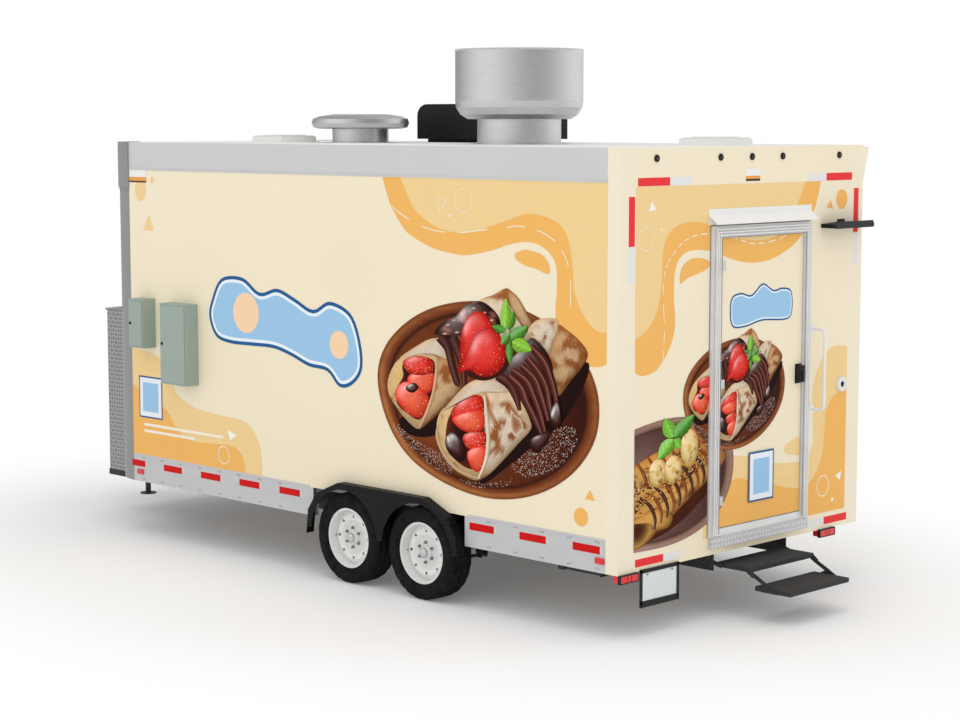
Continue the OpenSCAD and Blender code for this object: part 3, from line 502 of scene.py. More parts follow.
def lathe(centre, axis, profile, steps=32):
    """A turned shape. The profile is a list of (radius, distance along the axis)."""
    side, up = axes_for(axis)
    forward, centre = Vector(axis).normalized(), Vector(centre)
    verts = []
    for radius, along in profile:
        for i in range(steps):
            angle = 2 * math.pi * i / steps
            verts.append(centre + forward * along + (side * math.cos(angle) + up * math.sin(angle)) * radius)
    faces = hoops(len(profile), steps)
    for row, flip in ((0, True), (len(profile) - 1, False)):
        if profile[row][0] > 0.0002:
            ring = tuple(row * steps + i for i in range(steps))
            faces.append(ring[::-1] if flip else ring)
    return verts, faces


def bolt(centre, axis, radius, height):
    """A hexagon head on a washer."""
    return joined([lathe(centre, axis, [(radius * 1.35, 0), (radius * 1.35, height * 0.25)], 16),
                   lathe(centre, axis, [(radius, height * 0.25), (radius, height * 0.85),
                                        (radius * 0.8, height)], 6)])


def rivet(centre, axis, radius):
    """A domed rivet head."""
    return lathe(centre, axis, [(radius, 0), (radius * 0.9, radius * 0.3), (radius * 0.5, radius * 0.5),
                                (0.0001, radius * 0.55)], 12)


def pipe(points, radius):
    """A round bar along points."""
    steps = 12
    points = [Vector(p) for p in points]
    verts = []
    for i, point in enumerate(points):
        way = points[min(i + 1, len(points) - 1)] - points[max(i - 1, 0)]
        side, up = axes_for(way)
        verts += [point + (side * math.cos(a) + up * math.sin(a)) * radius
                  for a in (2 * math.pi * k / steps for k in range(steps))]
    faces = hoops(len(points), steps)
    faces += [tuple(range(steps))[::-1], tuple(range(len(verts) - steps, len(verts)))]
    return verts, faces


# ---------------------------------------------------------------- printed film

FILM = 0.0004  # one layer of film, drawn thicker than real so that layers never touch


def on_street(u, v, d):
    """A point on the street wall: u ahead of the rear wall, v above the ground, d out of the wall."""
    return Vector((REAR_X + u, STREET_Y + d, v))


def on_curb(u, v, d):
    return Vector((REAR_X + u, CURB_Y - d, v))


def on_hatch(u, v, d):
    return Vector((REAR_X + u, HATCH_Y - d, v))


def on_rear(u, v, d):
    """A point on the rear wall: u to the street side of the centre line."""
    return Vector((REAR_X - d, u, v))


def on_door(u, v, d):
    return Vector((DOOR_FACE - d, u, v))


DOOR_FACE = REAR_X - 0.012
HATCH_LOW, HATCH_HIGH = ends("serving_hatch")
HATCH_Y = CURB_Y - 0.012
DOOR_RECT = (DOOR_HIGH.y - 0.008 - 0.910, DOOR_HIGH.y - 0.008, DOOR_LOW.z, DOOR_HIGH.z)
OPEN_RECT = (DOOR_RECT[0] - 0.006, DOOR_RECT[1] + 0.006, DOOR_LOW.z - 0.006, DOOR_HIGH.z + 0.006)
POST = (corner("rear_wall").y, corner("rear_wall", True).y)
PANEL_V = (0.549, 2.866)
STREET_RECT = (WALL_LOW.x - REAR_X, WALL_HIGH.x - REAR_X, WALL_LOW.z, WALL_HIGH.z)

# Each target is a wall, the part of it that film may cover, and the body that carries it
STREET = [(on_street, STREET_RECT, "trailer")]
REAR = [
    (on_rear, (POST[0], OPEN_RECT[0], *PANEL_V), "trailer"),
    (on_rear, (OPEN_RECT[1], POST[1], *PANEL_V), "trailer"),
    (on_rear, (OPEN_RECT[0], OPEN_RECT[1], OPEN_RECT[3], PANEL_V[1]), "trailer"),
    (on_door, DOOR_RECT, "door"),
]


def between(a, b, c, d, t):
    """A point on the smooth curve from b to c, with its neighbours a and d."""
    return 0.5 * (2 * b + (c - a) * t + (2 * a - 5 * b + 4 * c - d) * t * t
                  + (3 * b - a - 3 * c + d) * t * t * t)


def smooth_loop(points, steps=8):
    """A closed smooth outline through points."""
    count, out = len(points), []
    for i in range(count):
        a, b, c, d = (Vector(points[(i + k) % count]) for k in (-1, 0, 1, 2))
        for k in range(steps):
            out.append(between(a, b, c, d, k / steps))
    return out


def lay(name, verts, faces, layer, targets, material, ink=None):
    """Lays a flat picture, in a wall's own u, v and depth, on each target, cut to the target's edges."""
    for index, (wall, (u0, u1, v0, v1), body) in enumerate(targets):
        mesh = bmesh.new()
        colour = mesh.verts.layers.float_color.new("ink") if ink is not None else None
        made = []
        for i, vert in enumerate(verts):
            new = mesh.verts.new((vert[0], vert[1], vert[2] if len(vert) > 2 else 0.0))
            if colour is not None:
                new[colour] = ink[i]
            made.append(new)
        for face in faces:
            mesh.faces.new([made[i] for i in face])
        for point, normal in (((u0, 0, 0), (-1, 0, 0)), ((u1, 0, 0), (1, 0, 0)),
                              ((0, v0, 0), (0, -1, 0)), ((0, v1, 0), (0, 1, 0))):
            bmesh.ops.bisect_plane(mesh, geom=mesh.verts[:] + mesh.edges[:] + mesh.faces[:], plane_co=point,
                                   plane_no=normal, clear_outer=True)
        bmesh.ops.triangulate(mesh, faces=[f for f in mesh.faces if len(f.verts) > 4])
        mesh.verts.index_update()
        if mesh.faces:
            spots = [wall(v.co.x, v.co.y, v.co.z + layer * FILM) for v in mesh.verts]
            shapes = [tuple(v.index for v in f.verts) for f in mesh.faces]
            inks = [tuple(v[colour]) for v in mesh.verts] if colour is not None else None
            title = f"{name}_{index}" if len(targets) > 1 else name
            put(title, spots, shapes, material, body, "printed_panel", ink=inks)
        mesh.free()


def fill(outline):
    """Triangles that fill a flat outline."""
    flat = [Vector((p[0], p[1], 0)) for p in outline]
    return [(p[0], p[1], 0.0) for p in outline], tessellate_polygon([flat])


def film(name, outline, layer, targets, material):
    """One printed shape."""
    verts, faces = fill(outline)
    lay(name, verts, faces, layer, targets, material)


def oval(u, v, ru, rv, steps=40):
    return [(u + ru * math.cos(2 * math.pi * i / steps), v + rv * math.sin(2 * math.pi * i / steps))
            for i in range(steps)]


def ring_shape(u, v, ru, rv, line):
    """A thin outlined oval."""
    steps = 48
    verts = [(u + (ru - k * line) * math.cos(2 * math.pi * i / steps),
              v + (rv - k * line) * math.sin(2 * math.pi * i / steps), 0.0) for k in (0, 1)
             for i in range(steps)]
    faces = [(i, (i + 1) % steps, steps + (i + 1) % steps, steps + i) for i in range(steps)]
    return verts, faces


def ribbon(points, width, dashes=0):
    """A thin line along a smooth open curve, whole or in dashes."""
    dense = open_curve(points, 10)
    parts = []
    run = len(dense) if not dashes else max(3, len(dense) // dashes)
    for start in range(0, len(dense) - 2, run):
        piece = dense[start:start + (run + 1 if not dashes else int(run * 0.68) + 1)]
        if len(piece) < 2:
            continue
        verts, faces = [], []
        for i, p in enumerate(piece):
            way = piece[min(i + 1, len(piece) - 1)] - piece[max(i - 1, 0)]
            side = Vector((-way.y, way.x)).normalized() * width / 2
            verts += [(p.x + side.x, p.y + side.y, 0.0), (p.x - side.x, p.y - side.y, 0.0)]
        faces = [(2 * i, 2 * i + 1, 2 * i + 3, 2 * i + 2) for i in range(len(piece) - 1)]
        parts.append((verts, faces))
    return joined(parts)


# ---------------------------------------------------------------- printed food

LIGHT = Vector((-0.45, 0.62, 0.64)).normalized()
SHINE = (LIGHT + Vector((0, 0, 1))).normalized()


def blend_inks(a, b, t):
    t = min(1.0, max(0.0, t))
    return tuple(a[i] * (1 - t) + b[i] * t for i in range(3))


def lit(colour, normal, gloss=0.0, floor=0.42):
    """A flat ink made to look rounded: lambert light plus a highlight."""
    light = floor + (1.15 - floor) * max(0.0, normal.dot(LIGHT))
    glint = gloss * max(0.0, normal.dot(SHINE)) ** 26
    return tuple(min(1.2, colour[i] * light + glint) for i in range(3)) + (1.0,)


def cells(rows, across):
    """Faces of a grid of points, row by row."""
    wide = across + 1
    return [(a, a + 1, a + wide + 1, a + wide) for a in (i * wide + j for i in range(rows)
                                                         for j in range(across))]


class Picture:
    """A flat print built from shaded shapes. Up is +y, and each shape lies over the one before."""

    def __init__(self):
        self.verts, self.faces, self.inks, self.level = [], [], [], 0

    def take(self, verts, faces, inks, rise=1.0):
        start, z = len(self.verts), self.level * 0.00009
        self.verts += [(v[0], v[1], z) for v in verts]
        self.faces += [tuple(i + start for i in face) for face in faces]
        self.inks += inks
        self.level += rise

    def blob(self, outline, colour, edge=None, puff=1.0, gloss=0.0, spots=None, patch=3.0, floor=0.42):
        """A filled, rounded shape. spots is (ink, share, size) for browned or seeded patches."""
        fall = 2.2
        rings = 7
        rim = smooth_loop(outline, 5)
        middle = sum(rim, Vector((0, 0))) / len(rim)
        verts, inks = [middle], []
        grid = [(0.0, middle)]
        for r in range(1, rings + 1):
            share = (r / rings) ** 0.8
            for p in rim:
                grid.append((share, middle + (p - middle) * share))
        verts = [g[1] for g in grid]
        for share, p in grid:
            away = (p - middle)
            tilt = puff * share ** fall
            normal = Vector((away.x, away.y, 0)).normalized() * tilt if away.length > 1e-5 else Vector()
            normal.z = math.sqrt(max(0.05, 1.0 - min(0.95, tilt * tilt)))
            ink = blend_inks(colour, edge or colour, share ** 3)
            rough = noise.noise(Vector((p.x * patch, p.y * patch, self.level * 3.1)))
            ink = blend_inks(ink, (ink[0] * 0.7, ink[1] * 0.62, ink[2] * 0.55), 0.5 * (rough + 0.25))
            if spots:
                found = noise.noise(Vector((p.x * spots[2], p.y * spots[2], self.level * 1.7 + 5)))
                ink = blend_inks(ink, spots[0], (found - 0.5 + spots[1]) * 5)
            inks.append(lit(ink, normal.normalized(), gloss, floor))
        count = len(rim)
        faces = [(0, 1 + i, 1 + (i + 1) % count) for i in range(count)]
        for r in range(rings - 1):
            for i in range(count):
                a, b = 1 + r * count + i, 1 + r * count + (i + 1) % count
                faces.append((a, a + count, b + count, b))
        self.take(verts, faces, inks)

    def strand(self, points, widths, colour, gloss=0.5):
        """A rounded stream along a curve, with a width at each point."""
        across = 6
        path = open_curve(points, 8)
        verts, inks = [], []
        for i, p in enumerate(path):
            way = (path[min(i + 1, len(path) - 1)] - path[max(i - 1, 0)]).normalized()
            side = Vector((-way.y, way.x))
            at = i / (len(path) - 1) * (len(widths) - 1)
            k = min(int(at), len(widths) - 2)
            half = (widths[k] + (widths[k + 1] - widths[k]) * (at - k)) / 2
            for j in range(across + 1):
                t = 2 * j / across - 1
                verts.append(p + side * half * t)
                normal = Vector((side.x * t * 0.95, side.y * t * 0.95, math.sqrt(1.02 - 0.9 * t * t)))
                inks.append(lit(colour, normal.normalized(), gloss))
        self.take(verts, cells(len(path) - 1, across), inks, 0.5)

    def leaf(self, base, tip, width, colour):
        """A mint leaf with a light midrib and darker veins."""
        base, tip = Vector(base), Vector(tip)
        way, length = (tip - base).normalized(), (tip - base).length
        side = Vector((-way.y, way.x))
        verts, inks, rows, cols = [], [], 12, 6
        for i in range(rows + 1):
            t = i / rows
            half = width * math.sin(math.pi * min(1, t ** 0.75)) ** 0.8 * (1 + 0.08 * (i % 2)) + 0.015
            for j in range(cols + 1):
                s = 2 * j / cols - 1
                verts.append(base + way * length * t + side * half * s)
                vein = 0.78 if (i + abs(j - cols // 2)) % 3 == 0 else 1.05
                ink = tuple(c * vein * (1.25 if j == cols // 2 else 1.0) for c in colour)
                normal = Vector((side.x * s * 0.7, side.y * s * 0.7 + 0.1, 0.8)).normalized()
                inks.append(lit(ink, normal, 0.15))
        self.take(verts, cells(rows, cols), inks)

    def dots(self, count, spot, colour, low, high, seed, rise=0.5):
        """Scattered specks: sugar, seeds and glints. spot turns two random numbers into a place, or None."""
        chance = random.Random(seed)
        verts, faces, inks = [], [], []
        for _ in range(count):
            place = spot(chance.random(), chance.random())
            size, turn = chance.uniform(low, high), chance.uniform(0, 3.1)
            if place is None:
                continue
            start = len(verts)
            for k in range(4):
                a = turn + k * math.pi / 2
                verts.append((place[0] + size * math.cos(a), place[1] + size * math.sin(a)))
            faces.append(tuple(range(start, start + 4)))
            shade = chance.uniform(0.7, 1.0)
            inks += [tuple(c * shade for c in colour) + (1.0,)] * 4
        self.take(verts, faces, inks, rise)

    def berry(self, outline, sliced=False):
        """A strawberry, whole and seeded or cut open with a pale heart."""
        red, deep, heart = ink_of("#EE2A1E"), ink_of("#B40C08"), ink_of("#F4603A")
        self.blob(outline, heart if sliced else red, red if sliced else deep, puff=0.75, gloss=0.35,
                  patch=1.4, floor=0.55)
        us = [p[0] for p in outline]
        vs = [p[1] for p in outline]
        rim = smooth_loop(outline, 4)
        box = (min(us), max(us), min(vs), max(vs))

        def inside(a, b):
            p = (box[0] + (box[1] - box[0]) * a, box[2] + (box[3] - box[2]) * b)
            return p if within(p, rim) else None

        if not sliced:
            self.dots(80, inside, ink_of("#E9A04A"), 0.02, 0.036, len(self.verts), 0.3)
        self.dots(34, inside, ink_of("#FFF4EC"), 0.012, 0.035, len(self.verts) + 1, 0.3)

    def sugar(self, outline, count, seed, high=0.036):
        """A dusting of icing sugar inside an outline."""
        rim = smooth_loop(outline, 3)
        us, vs = [p.x for p in rim], [p.y for p in rim]

        def inside(a, b):
            p = (min(us) + (max(us) - min(us)) * a, min(vs) + (max(vs) - min(vs)) * b)
            return p if within(p, rim) else None

        self.dots(count * 3, inside, ink_of("#E9DDD2"), 0.008, high, seed)


def ink_of(text):
    return linear(text)[:3]


def open_curve(points, steps):
    """A smooth open curve through points."""
    ends = [Vector(points[0]) * 2 - Vector(points[1])] + [Vector(p) for p in points]
    ends.append(Vector(points[-1]) * 2 - Vector(points[-2]))
    out = []
    for i in range(1, len(ends) - 2):
        a, b, c, d = ends[i - 1:i + 3]
        for k in range(steps):
            out.append(between(a, b, c, d, k / steps))
    return out + [ends[-2]]


def within(point, rim):
    """Whether a point lies inside a closed outline."""
    x, y = point
    found = False
    for i in range(len(rim)):
        a, b = rim[i - 1], rim[i]
        if (a.y > y) != (b.y > y) and x < (b.x - a.x) * (y - a.y) / (b.y - a.y) + a.x:
            found = not found
    return found


def flip(points):
    """Outlines are written with y down, as a sheet is read. This turns them up."""
    return [(x, -y) for x, y in points]


def plate(picture, outline, rim_ink, shine_ink, floor_inks, middle):
    """A round plate seen at a slant: floor, dark inner wall and turned rim."""
    edge = smooth_loop(flip(outline), 8)
    centre = Vector((middle[0], -middle[1]))
    shares = [0.0, 0.25, 0.45, 0.6, 0.72, 0.8, 0.855, 0.885, 0.905, 0.93, 0.95, 0.965, 0.98, 1.0]
    verts, inks = [], []
    for share in shares:
        for p in edge:
            at = centre + (p - centre) * share
            verts.append(at)
            way = (p - centre).normalized()
            grain = 0.5 + 0.5 * noise.noise(Vector((at.x * 0.9, at.y * 5.0, 2.0)))
            if share < 0.88:
                warm = 0.5 - 0.5 * way.x * min(1, share * 1.3) - 0.12 * noise.noise(Vector((at.x, at.y, 7)))
                ink = blend_inks(floor_inks[1], floor_inks[0], warm)
                ink = blend_inks(ink, floor_inks[2], max(0.0, share - 0.55) * 2.2 * (0.45 + 0.55 * max(0,
                        way.y + way.x)))
                ink = tuple(c * (0.8 + 0.4 * grain) for c in ink)
            else:
                top = max(0.0, 1 - abs(share - 0.965) / 0.04)
                ink = blend_inks(floor_inks[2], rim_ink, (share - 0.88) / 0.035)
                ink = blend_inks(ink, shine_ink, top * (0.35 + 0.65 * max(0, -way.y * 0.6 - way.x * 0.7)))
                ink = tuple(c * (0.75 + 0.5 * grain) for c in ink)
            inks.append(tuple(ink) + (1.0,))
    count = len(edge)
    faces = []
    for r in range(len(shares) - 1):
        for i in range(count):
            a, b = r * count + i, r * count + (i + 1) % count
            faces.append((a, a + count, b + count, b) if r else (b, a + count, b + count))
    picture.take(verts, faces, inks)


def strawberry_plate():
    """Four filled pancakes on a wooden plate, with strawberries, chocolate and mint."""
    p = Picture()
    plate(p, [(0.2, 6.8), (0.6, 4.6), (2.0, 2.9), (4.0, 1.8), (6.6, 1.4), (9.4, 1.8), (12.0, 3.2),
              (13.9, 5.2), (14.9, 7.8), (14.7, 10.6), (13.2, 12.9), (10.8, 14.3), (8.0, 14.6), (5.2, 13.8),
              (2.6, 12.1), (1.0, 9.8)], ink_of("#74371A"), ink_of("#B4733F"),
          (ink_of("#86421C"), ink_of("#4A1608"), ink_of("#1F0603")), (7.6, 8.0))
    cake, tan, brown = ink_of("#EBDAC2"), ink_of("#D6B184"), ink_of("#9A5A28")
    dark, choc = ink_of("#1E0603"), ink_of("#48160C")
    p.sugar(flip([(1.2, 9.2), (2.4, 10.4), (4.4, 11.6), (5.2, 12.9), (3.6, 12.3), (1.6, 10.4)]), 420, 3)
    p.sugar(flip([(9.0, 12.2), (10.6, 11.2), (12.2, 9.8), (13.6, 10.2), (12.6, 12.2), (10.2, 13.2)]), 420, 4)
    p.sugar(flip([(5.6, 13.2), (7.4, 13.6), (9.2, 13.2), (8.6, 13.8), (6.6, 13.8)]), 60, 5)
    # shadow that the pancakes throw on the plate
    p.blob(flip([(1.6, 9.4), (2.6, 10.4), (4.4, 10.2), (5.4, 8.6), (4.6, 7.6), (3.0, 8.4)]), dark, puff=0.1)
    p.blob(flip([(7.0, 13.5), (9.2, 12.2), (11.0, 10.6), (12.6, 9.4), (14.2, 6.4), (13.6, 5.6), (9.0, 9.0)]),
           dark, puff=0.1)
    # the two at the back
    p.blob(flip([(6.9, 1.5), (7.9, 1.0), (8.75, 0.55), (9.3, 0.95), (9.9, 1.7), (10.1, 2.5), (10.6, 3.2),
                 (10.2, 4.4), (8.4, 4.4), (7.0, 3.2)]), cake, tan, 0.7, spots=(brown, 0.42, 1.2))
    p.blob(flip([(8.9, 0.7), (9.5, 1.1), (10.0, 1.9), (10.6, 3.1), (10.2, 3.5), (9.5, 2.6), (9.0, 1.6)]),
           tan, brown, 0.8)
    p.blob(flip([(12.1, 3.1), (12.9, 3.4), (13.7, 4.1), (14.2, 4.9), (13.9, 5.7), (13.1, 6.7), (12.2, 7.8),
                 (11.5, 7.0), (11.5, 5.4)]), tan, brown, 0.75, spots=(brown, 0.5, 1.5))
    p.blob(flip([(10.2, 3.5), (10.7, 2.75), (11.5, 2.55), (12.2, 2.7), (12.15, 3.6), (11.9, 4.2),
                 (11.6, 4.95), (11.0, 4.3)]), cake, tan, 0.6, spots=(brown, 0.25, 2.0))
    p.sugar(flip([(10.4, 3.4), (11.0, 2.8), (12.0, 3.0), (11.7, 4.6)]), 90, 6)
    p.sugar(flip([(12.3, 3.6), (13.6, 4.4), (13.4, 5.6), (12.3, 6.2)]), 60, 7, 0.025)
    # the one at the left
    p.blob(flip([(4.0, 5.2), (5.1, 4.9), (5.5, 6.0), (5.8, 7.2), (4.9, 8.3), (3.7, 9.4), (2.95, 9.95),
                 (3.3, 8.8), (3.8, 7.4)]), tan, brown, 0.75, spots=(brown, 0.45, 1.4))
    p.blob(flip([(0.9, 6.6), (1.4, 5.5), (2.2, 5.0), (3.4, 4.95), (4.2, 5.2), (4.15, 6.4), (3.95, 7.4),
                 (3.6, 8.6), (3.0, 9.9), (2.2, 9.4), (1.4, 8.4), (0.95, 7.6)]), ink_of("#E9C77C"), tan, 0.5,
           spots=(brown, 0.3, 1.6))
    p.blob(flip([(1.9, 5.6), (3.0, 5.2), (3.95, 5.4), (3.95, 6.8), (3.55, 8.4), (3.0, 9.3), (2.2, 8.9),
                 (1.5, 8.2), (1.5, 7.2), (1.9, 6.4)]), dark, ink_of("#5B1A0C"), 0.3)
    p.berry(flip([(2.2, 6.5), (3.0, 6.0), (3.9, 6.2), (3.9, 7.2), (3.3, 7.6), (2.5, 7.4)]), True)
    p.berry(flip([(1.9, 5.4), (2.8, 5.05), (3.8, 5.3), (3.9, 6.1), (3.0, 6.35), (2.2, 6.1)]))
    p.berry(flip([(1.35, 7.6), (1.9, 6.8), (2.8, 7.0), (3.6, 7.8), (3.5, 8.7), (2.9, 9.2), (2.0, 8.7)]), True)
    p.blob(flip([(2.1, 7.1), (2.6, 6.85), (2.95, 7.15), (2.6, 7.5), (2.2, 7.4)]), choc, dark, 0.9, 0.9)
    p.blob(flip([(1.7, 5.15), (2.8, 4.4), (3.8, 3.9), (4.8, 4.0), (5.2, 4.8), (5.05, 5.35), (4.2, 5.05),
                 (3.2, 4.9), (2.3, 5.05)]), cake, tan, 0.6)
    p.sugar(flip([(2.2, 4.9), (3.9, 4.0), (4.9, 4.4), (4.6, 4.9)]), 170, 8, 0.03)
    p.strand(flip([(4.15, 5.15), (4.1, 6.4), (3.9, 7.6), (3.5, 8.8), (3.0, 9.85)]),
             [0.1, 0.22, 0.2, 0.22, 0.1], tan, 0.1)
    # chocolate over the back
    p.blob(flip([(4.0, 3.6), (4.6, 2.8), (5.4, 2.4), (6.2, 1.6), (7.2, 1.45), (8.2, 2.3), (8.4, 3.2),
                 (8.0, 4.2), (6.4, 4.6), (5.2, 4.0)]), choc, dark, 0.7, 0.5,
           spots=(ink_of("#9A5A4A"), 0.28, 2.4))
    for x, y in ([(4.9, 3.0), (5.5, 3.5), (5.3, 2.7), (6.6, 1.9), (7.3, 2.2), (7.8, 2.7), (4.7, 3.6)]):
        p.blob(flip([(x - .2, y), (x, y - .1), (x + .2, y - .05), (x + .02, y + .07)]), ink_of("#E2B8A8"),
               choc, 0.6)
    p.strand(flip([(4.4, 3.8), (4.9, 4.6), (5.2, 5.8), (5.5, 6.8), (5.7, 7.1)]), [0.7, 0.5, 0.5, 0.45, 0.1],
             choc)
    p.strand(flip([(5.2, 3.8), (5.6, 4.8), (5.9, 5.8), (6.0, 7.0)]), [0.7, 0.6, 0.45, 0.3], choc)
    # the one at the front
    p.blob(flip([(7.3, 7.5), (8.4, 7.3), (9.2, 7.3), (9.9, 8.3), (10.4, 9.4), (10.4, 10.0), (9.6, 10.9),
                 (8.6, 12.0), (7.7, 12.9), (6.95, 13.3), (7.4, 12.0), (7.5, 10.0)]), cake, tan, 0.7,
           spots=(brown, 0.36, 1.3))
    p.blob(flip([(9.1, 8.7), (9.4, 9.0), (9.8, 9.4), (9.9, 9.9), (9.4, 10.4), (9.1, 9.8)]),
           ink_of("#A9663A"), cake, 0.1, patch=5)
    p.sugar(flip([(7.7, 7.7), (9.4, 8.2), (9.8, 9.6), (8.2, 10.4)]), 110, 9, 0.025)
    p.blob(flip([(4.15, 9.8), (4.4, 8.8), (5.0, 8.3), (6.0, 7.75), (7.3, 7.5), (7.55, 9.0), (7.65, 10.6),
                 (7.5, 12.2), (6.95, 13.3), (6.1, 13.1), (5.2, 12.5), (4.5, 11.5)]), ink_of("#E7C68E"), tan,
           0.5, spots=(brown, 0.3, 1.6))
    p.blob(flip([(4.8, 9.8), (5.1, 8.9), (6.0, 8.2), (7.1, 7.8), (7.3, 9.4), (7.4, 11.0), (7.2, 12.3),
                 (6.4, 12.6), (5.4, 12.0), (4.8, 11.0)]), dark, ink_of("#6A2410"), 0.4)
    p.berry(flip([(5.1, 8.8), (5.9, 7.9), (7.1, 7.7), (7.3, 8.8), (6.4, 9.2), (5.4, 9.4)]))
    p.berry(flip([(5.2, 9.2), (6.2, 8.8), (7.2, 8.7), (7.3, 9.8), (6.6, 10.2), (5.7, 9.9)]), True)
    p.berry(flip([(5.9, 10.4), (6.6, 10.1), (7.4, 10.2), (7.4, 11.0), (6.7, 11.4), (6.1, 11.1)]))
    p.berry(flip([(6.2, 11.5), (6.9, 11.1), (7.5, 11.2), (7.4, 12.2), (6.9, 12.8), (6.4, 12.4)]), True)
    p.blob(flip([(4.75, 10.5), (5.2, 10.1), (5.8, 10.6), (6.1, 11.4), (5.9, 12.1), (5.2, 11.8),
                 (4.8, 11.2)]), choc, dark, 0.9, 0.8)
    p.blob(flip([(4.8, 10.5), (4.95, 10.3), (5.1, 10.6), (5.0, 10.95), (4.85, 10.8)]), ink_of("#F8EFE8"),
           choc, 0.3)
    p.strand(flip([(7.35, 7.7), (7.5, 9.2), (7.6, 10.6), (7.45, 12.0), (6.95, 13.25)]),
             [0.12, 0.26, 0.24, 0.26, 0.12], cake, 0.1)
    p.strand(flip([(4.25, 9.6), (4.2, 10.5), (4.7, 11.7), (5.6, 12.7), (6.9, 13.25)]),
             [0.12, 0.2, 0.22, 0.2, 0.12], tan, 0.1)
    p.blob(flip([(4.55, 8.75), (5.5, 7.6), (6.4, 6.8), (7.5, 6.5), (8.6, 6.6), (9.25, 7.3), (8.8, 7.5),
                 (7.5, 7.45), (6.4, 7.75), (5.4, 8.25)]), cake, tan, 0.6)
    p.sugar(flip([(5.4, 8.0), (6.6, 6.9), (8.8, 6.8), (8.6, 7.3), (6.6, 7.4)]), 200, 10, 0.03)
    # chocolate over the front
    p.blob(flip([(8.2, 6.3), (8.8, 5.5), (9.5, 4.9), (10.4, 3.9), (11.0, 4.2), (11.6, 5.0), (11.9, 6.0),
                 (11.6, 6.9), (10.6, 7.2), (9.4, 7.2), (8.6, 6.9)]), choc, dark, 0.6, 0.4)
    rows = [([(8.2, 6.4), (9.0, 6.9), (9.4, 7.6), (9.7, 8.7)], [.5, .62, .5, .2]),
            ([(9.0, 6.4), (9.8, 7.2), (10.2, 8.2), (10.7, 9.2), (11.2, 10.4)], [.5, .55, .45, .42, .2]),
            ([(9.2, 6.0), (10.2, 6.8), (10.7, 7.9), (11.1, 9.0), (11.4, 10.2)], [.4, .5, .4, .36, .2]),
            ([(9.8, 5.7), (10.7, 6.6), (11.1, 7.6), (11.4, 8.6), (11.6, 9.4)], [.4, .44, .4, .3, .2]),
            ([(10.2, 5.2), (11.0, 6.2), (11.5, 7.2), (11.7, 8.3), (11.9, 9.4)], [.4, .44, .4, .32, .24]),
            ([(10.4, 4.4), (11.3, 5.4), (11.8, 6.6), (12.1, 7.8), (12.2, 8.8)], [.4, .5, .4, .3, .3])]
    for points, widths in rows:
        p.strand(flip(points), [w * 1.15 for w in widths], ink_of("#52190E"), 0.45)
    for points, widths in rows[1:]:
        thin = [(x + 0.03, y - 0.04) for x, y in points]
        p.strand(flip(thin), [w * 0.16 for w in widths], ink_of("#A0604E"), 0.2)
    p.blob(flip([(11.7, 9.0), (12.2, 8.0), (12.5, 9.2), (12.4, 9.8), (11.9, 9.8)]), choc, dark, 0.9, 0.9)
    p.blob(flip([(10.4, 10.6), (11.2, 10.2), (11.8, 10.0), (11.5, 10.9), (10.9, 11.5), (10.4, 11.2)]), choc,
           dark, 0.9, 0.5)
    # strawberries and mint on top
    p.berry(flip([(6.1, 2.7), (6.5, 2.2), (7.2, 2.1), (7.7, 2.7), (7.9, 3.4), (7.0, 4.4), (6.3, 5.4),
                  (5.8, 6.0), (5.7, 4.8), (5.8, 3.6)]))
    p.blob(flip([(6.2, 6.2), (7.2, 6.7), (8.3, 6.4), (9.0, 5.6), (8.6, 4.6), (7.2, 4.6)]), dark, choc, 0.2)
    p.berry(flip([(7.5, 3.2), (8.2, 3.5), (8.6, 4.2), (8.8, 5.0), (8.5, 5.9), (7.8, 6.4), (7.0, 6.4),
                  (6.3, 6.0), (5.6, 6.2), (5.7, 5.7), (6.3, 4.6), (6.8, 3.6)]))
    green, leafy = ink_of("#8CC63A"), ink_of("#4E9428")
    p.strand(flip([(9.0, 2.6), (9.05, 3.6), (9.1, 4.6)]), [0.08, 0.1, 0.1], leafy, 0.1)
    for base, tip, width, ink in [((8.9, 3.3), (9.3, 2.05), 0.3, leafy), ((8.75, 3.2), (8.8, 1.2), 0.34,
            green), ((8.75, 3.4), (7.85, 3.05), 0.24, leafy), ((9.1, 3.95), (10.2, 3.1), 0.42, leafy),
                                  ((9.0, 3.6), (8.5, 4.3), 0.28, leafy), ((9.0, 4.2), (9.05, 5.55), 0.22,
            leafy), ((9.2, 4.1), (10.5, 4.7), 0.44, green)]:
        p.leaf((base[0], -base[1]), (tip[0], -tip[1]), width, ink)
    return p


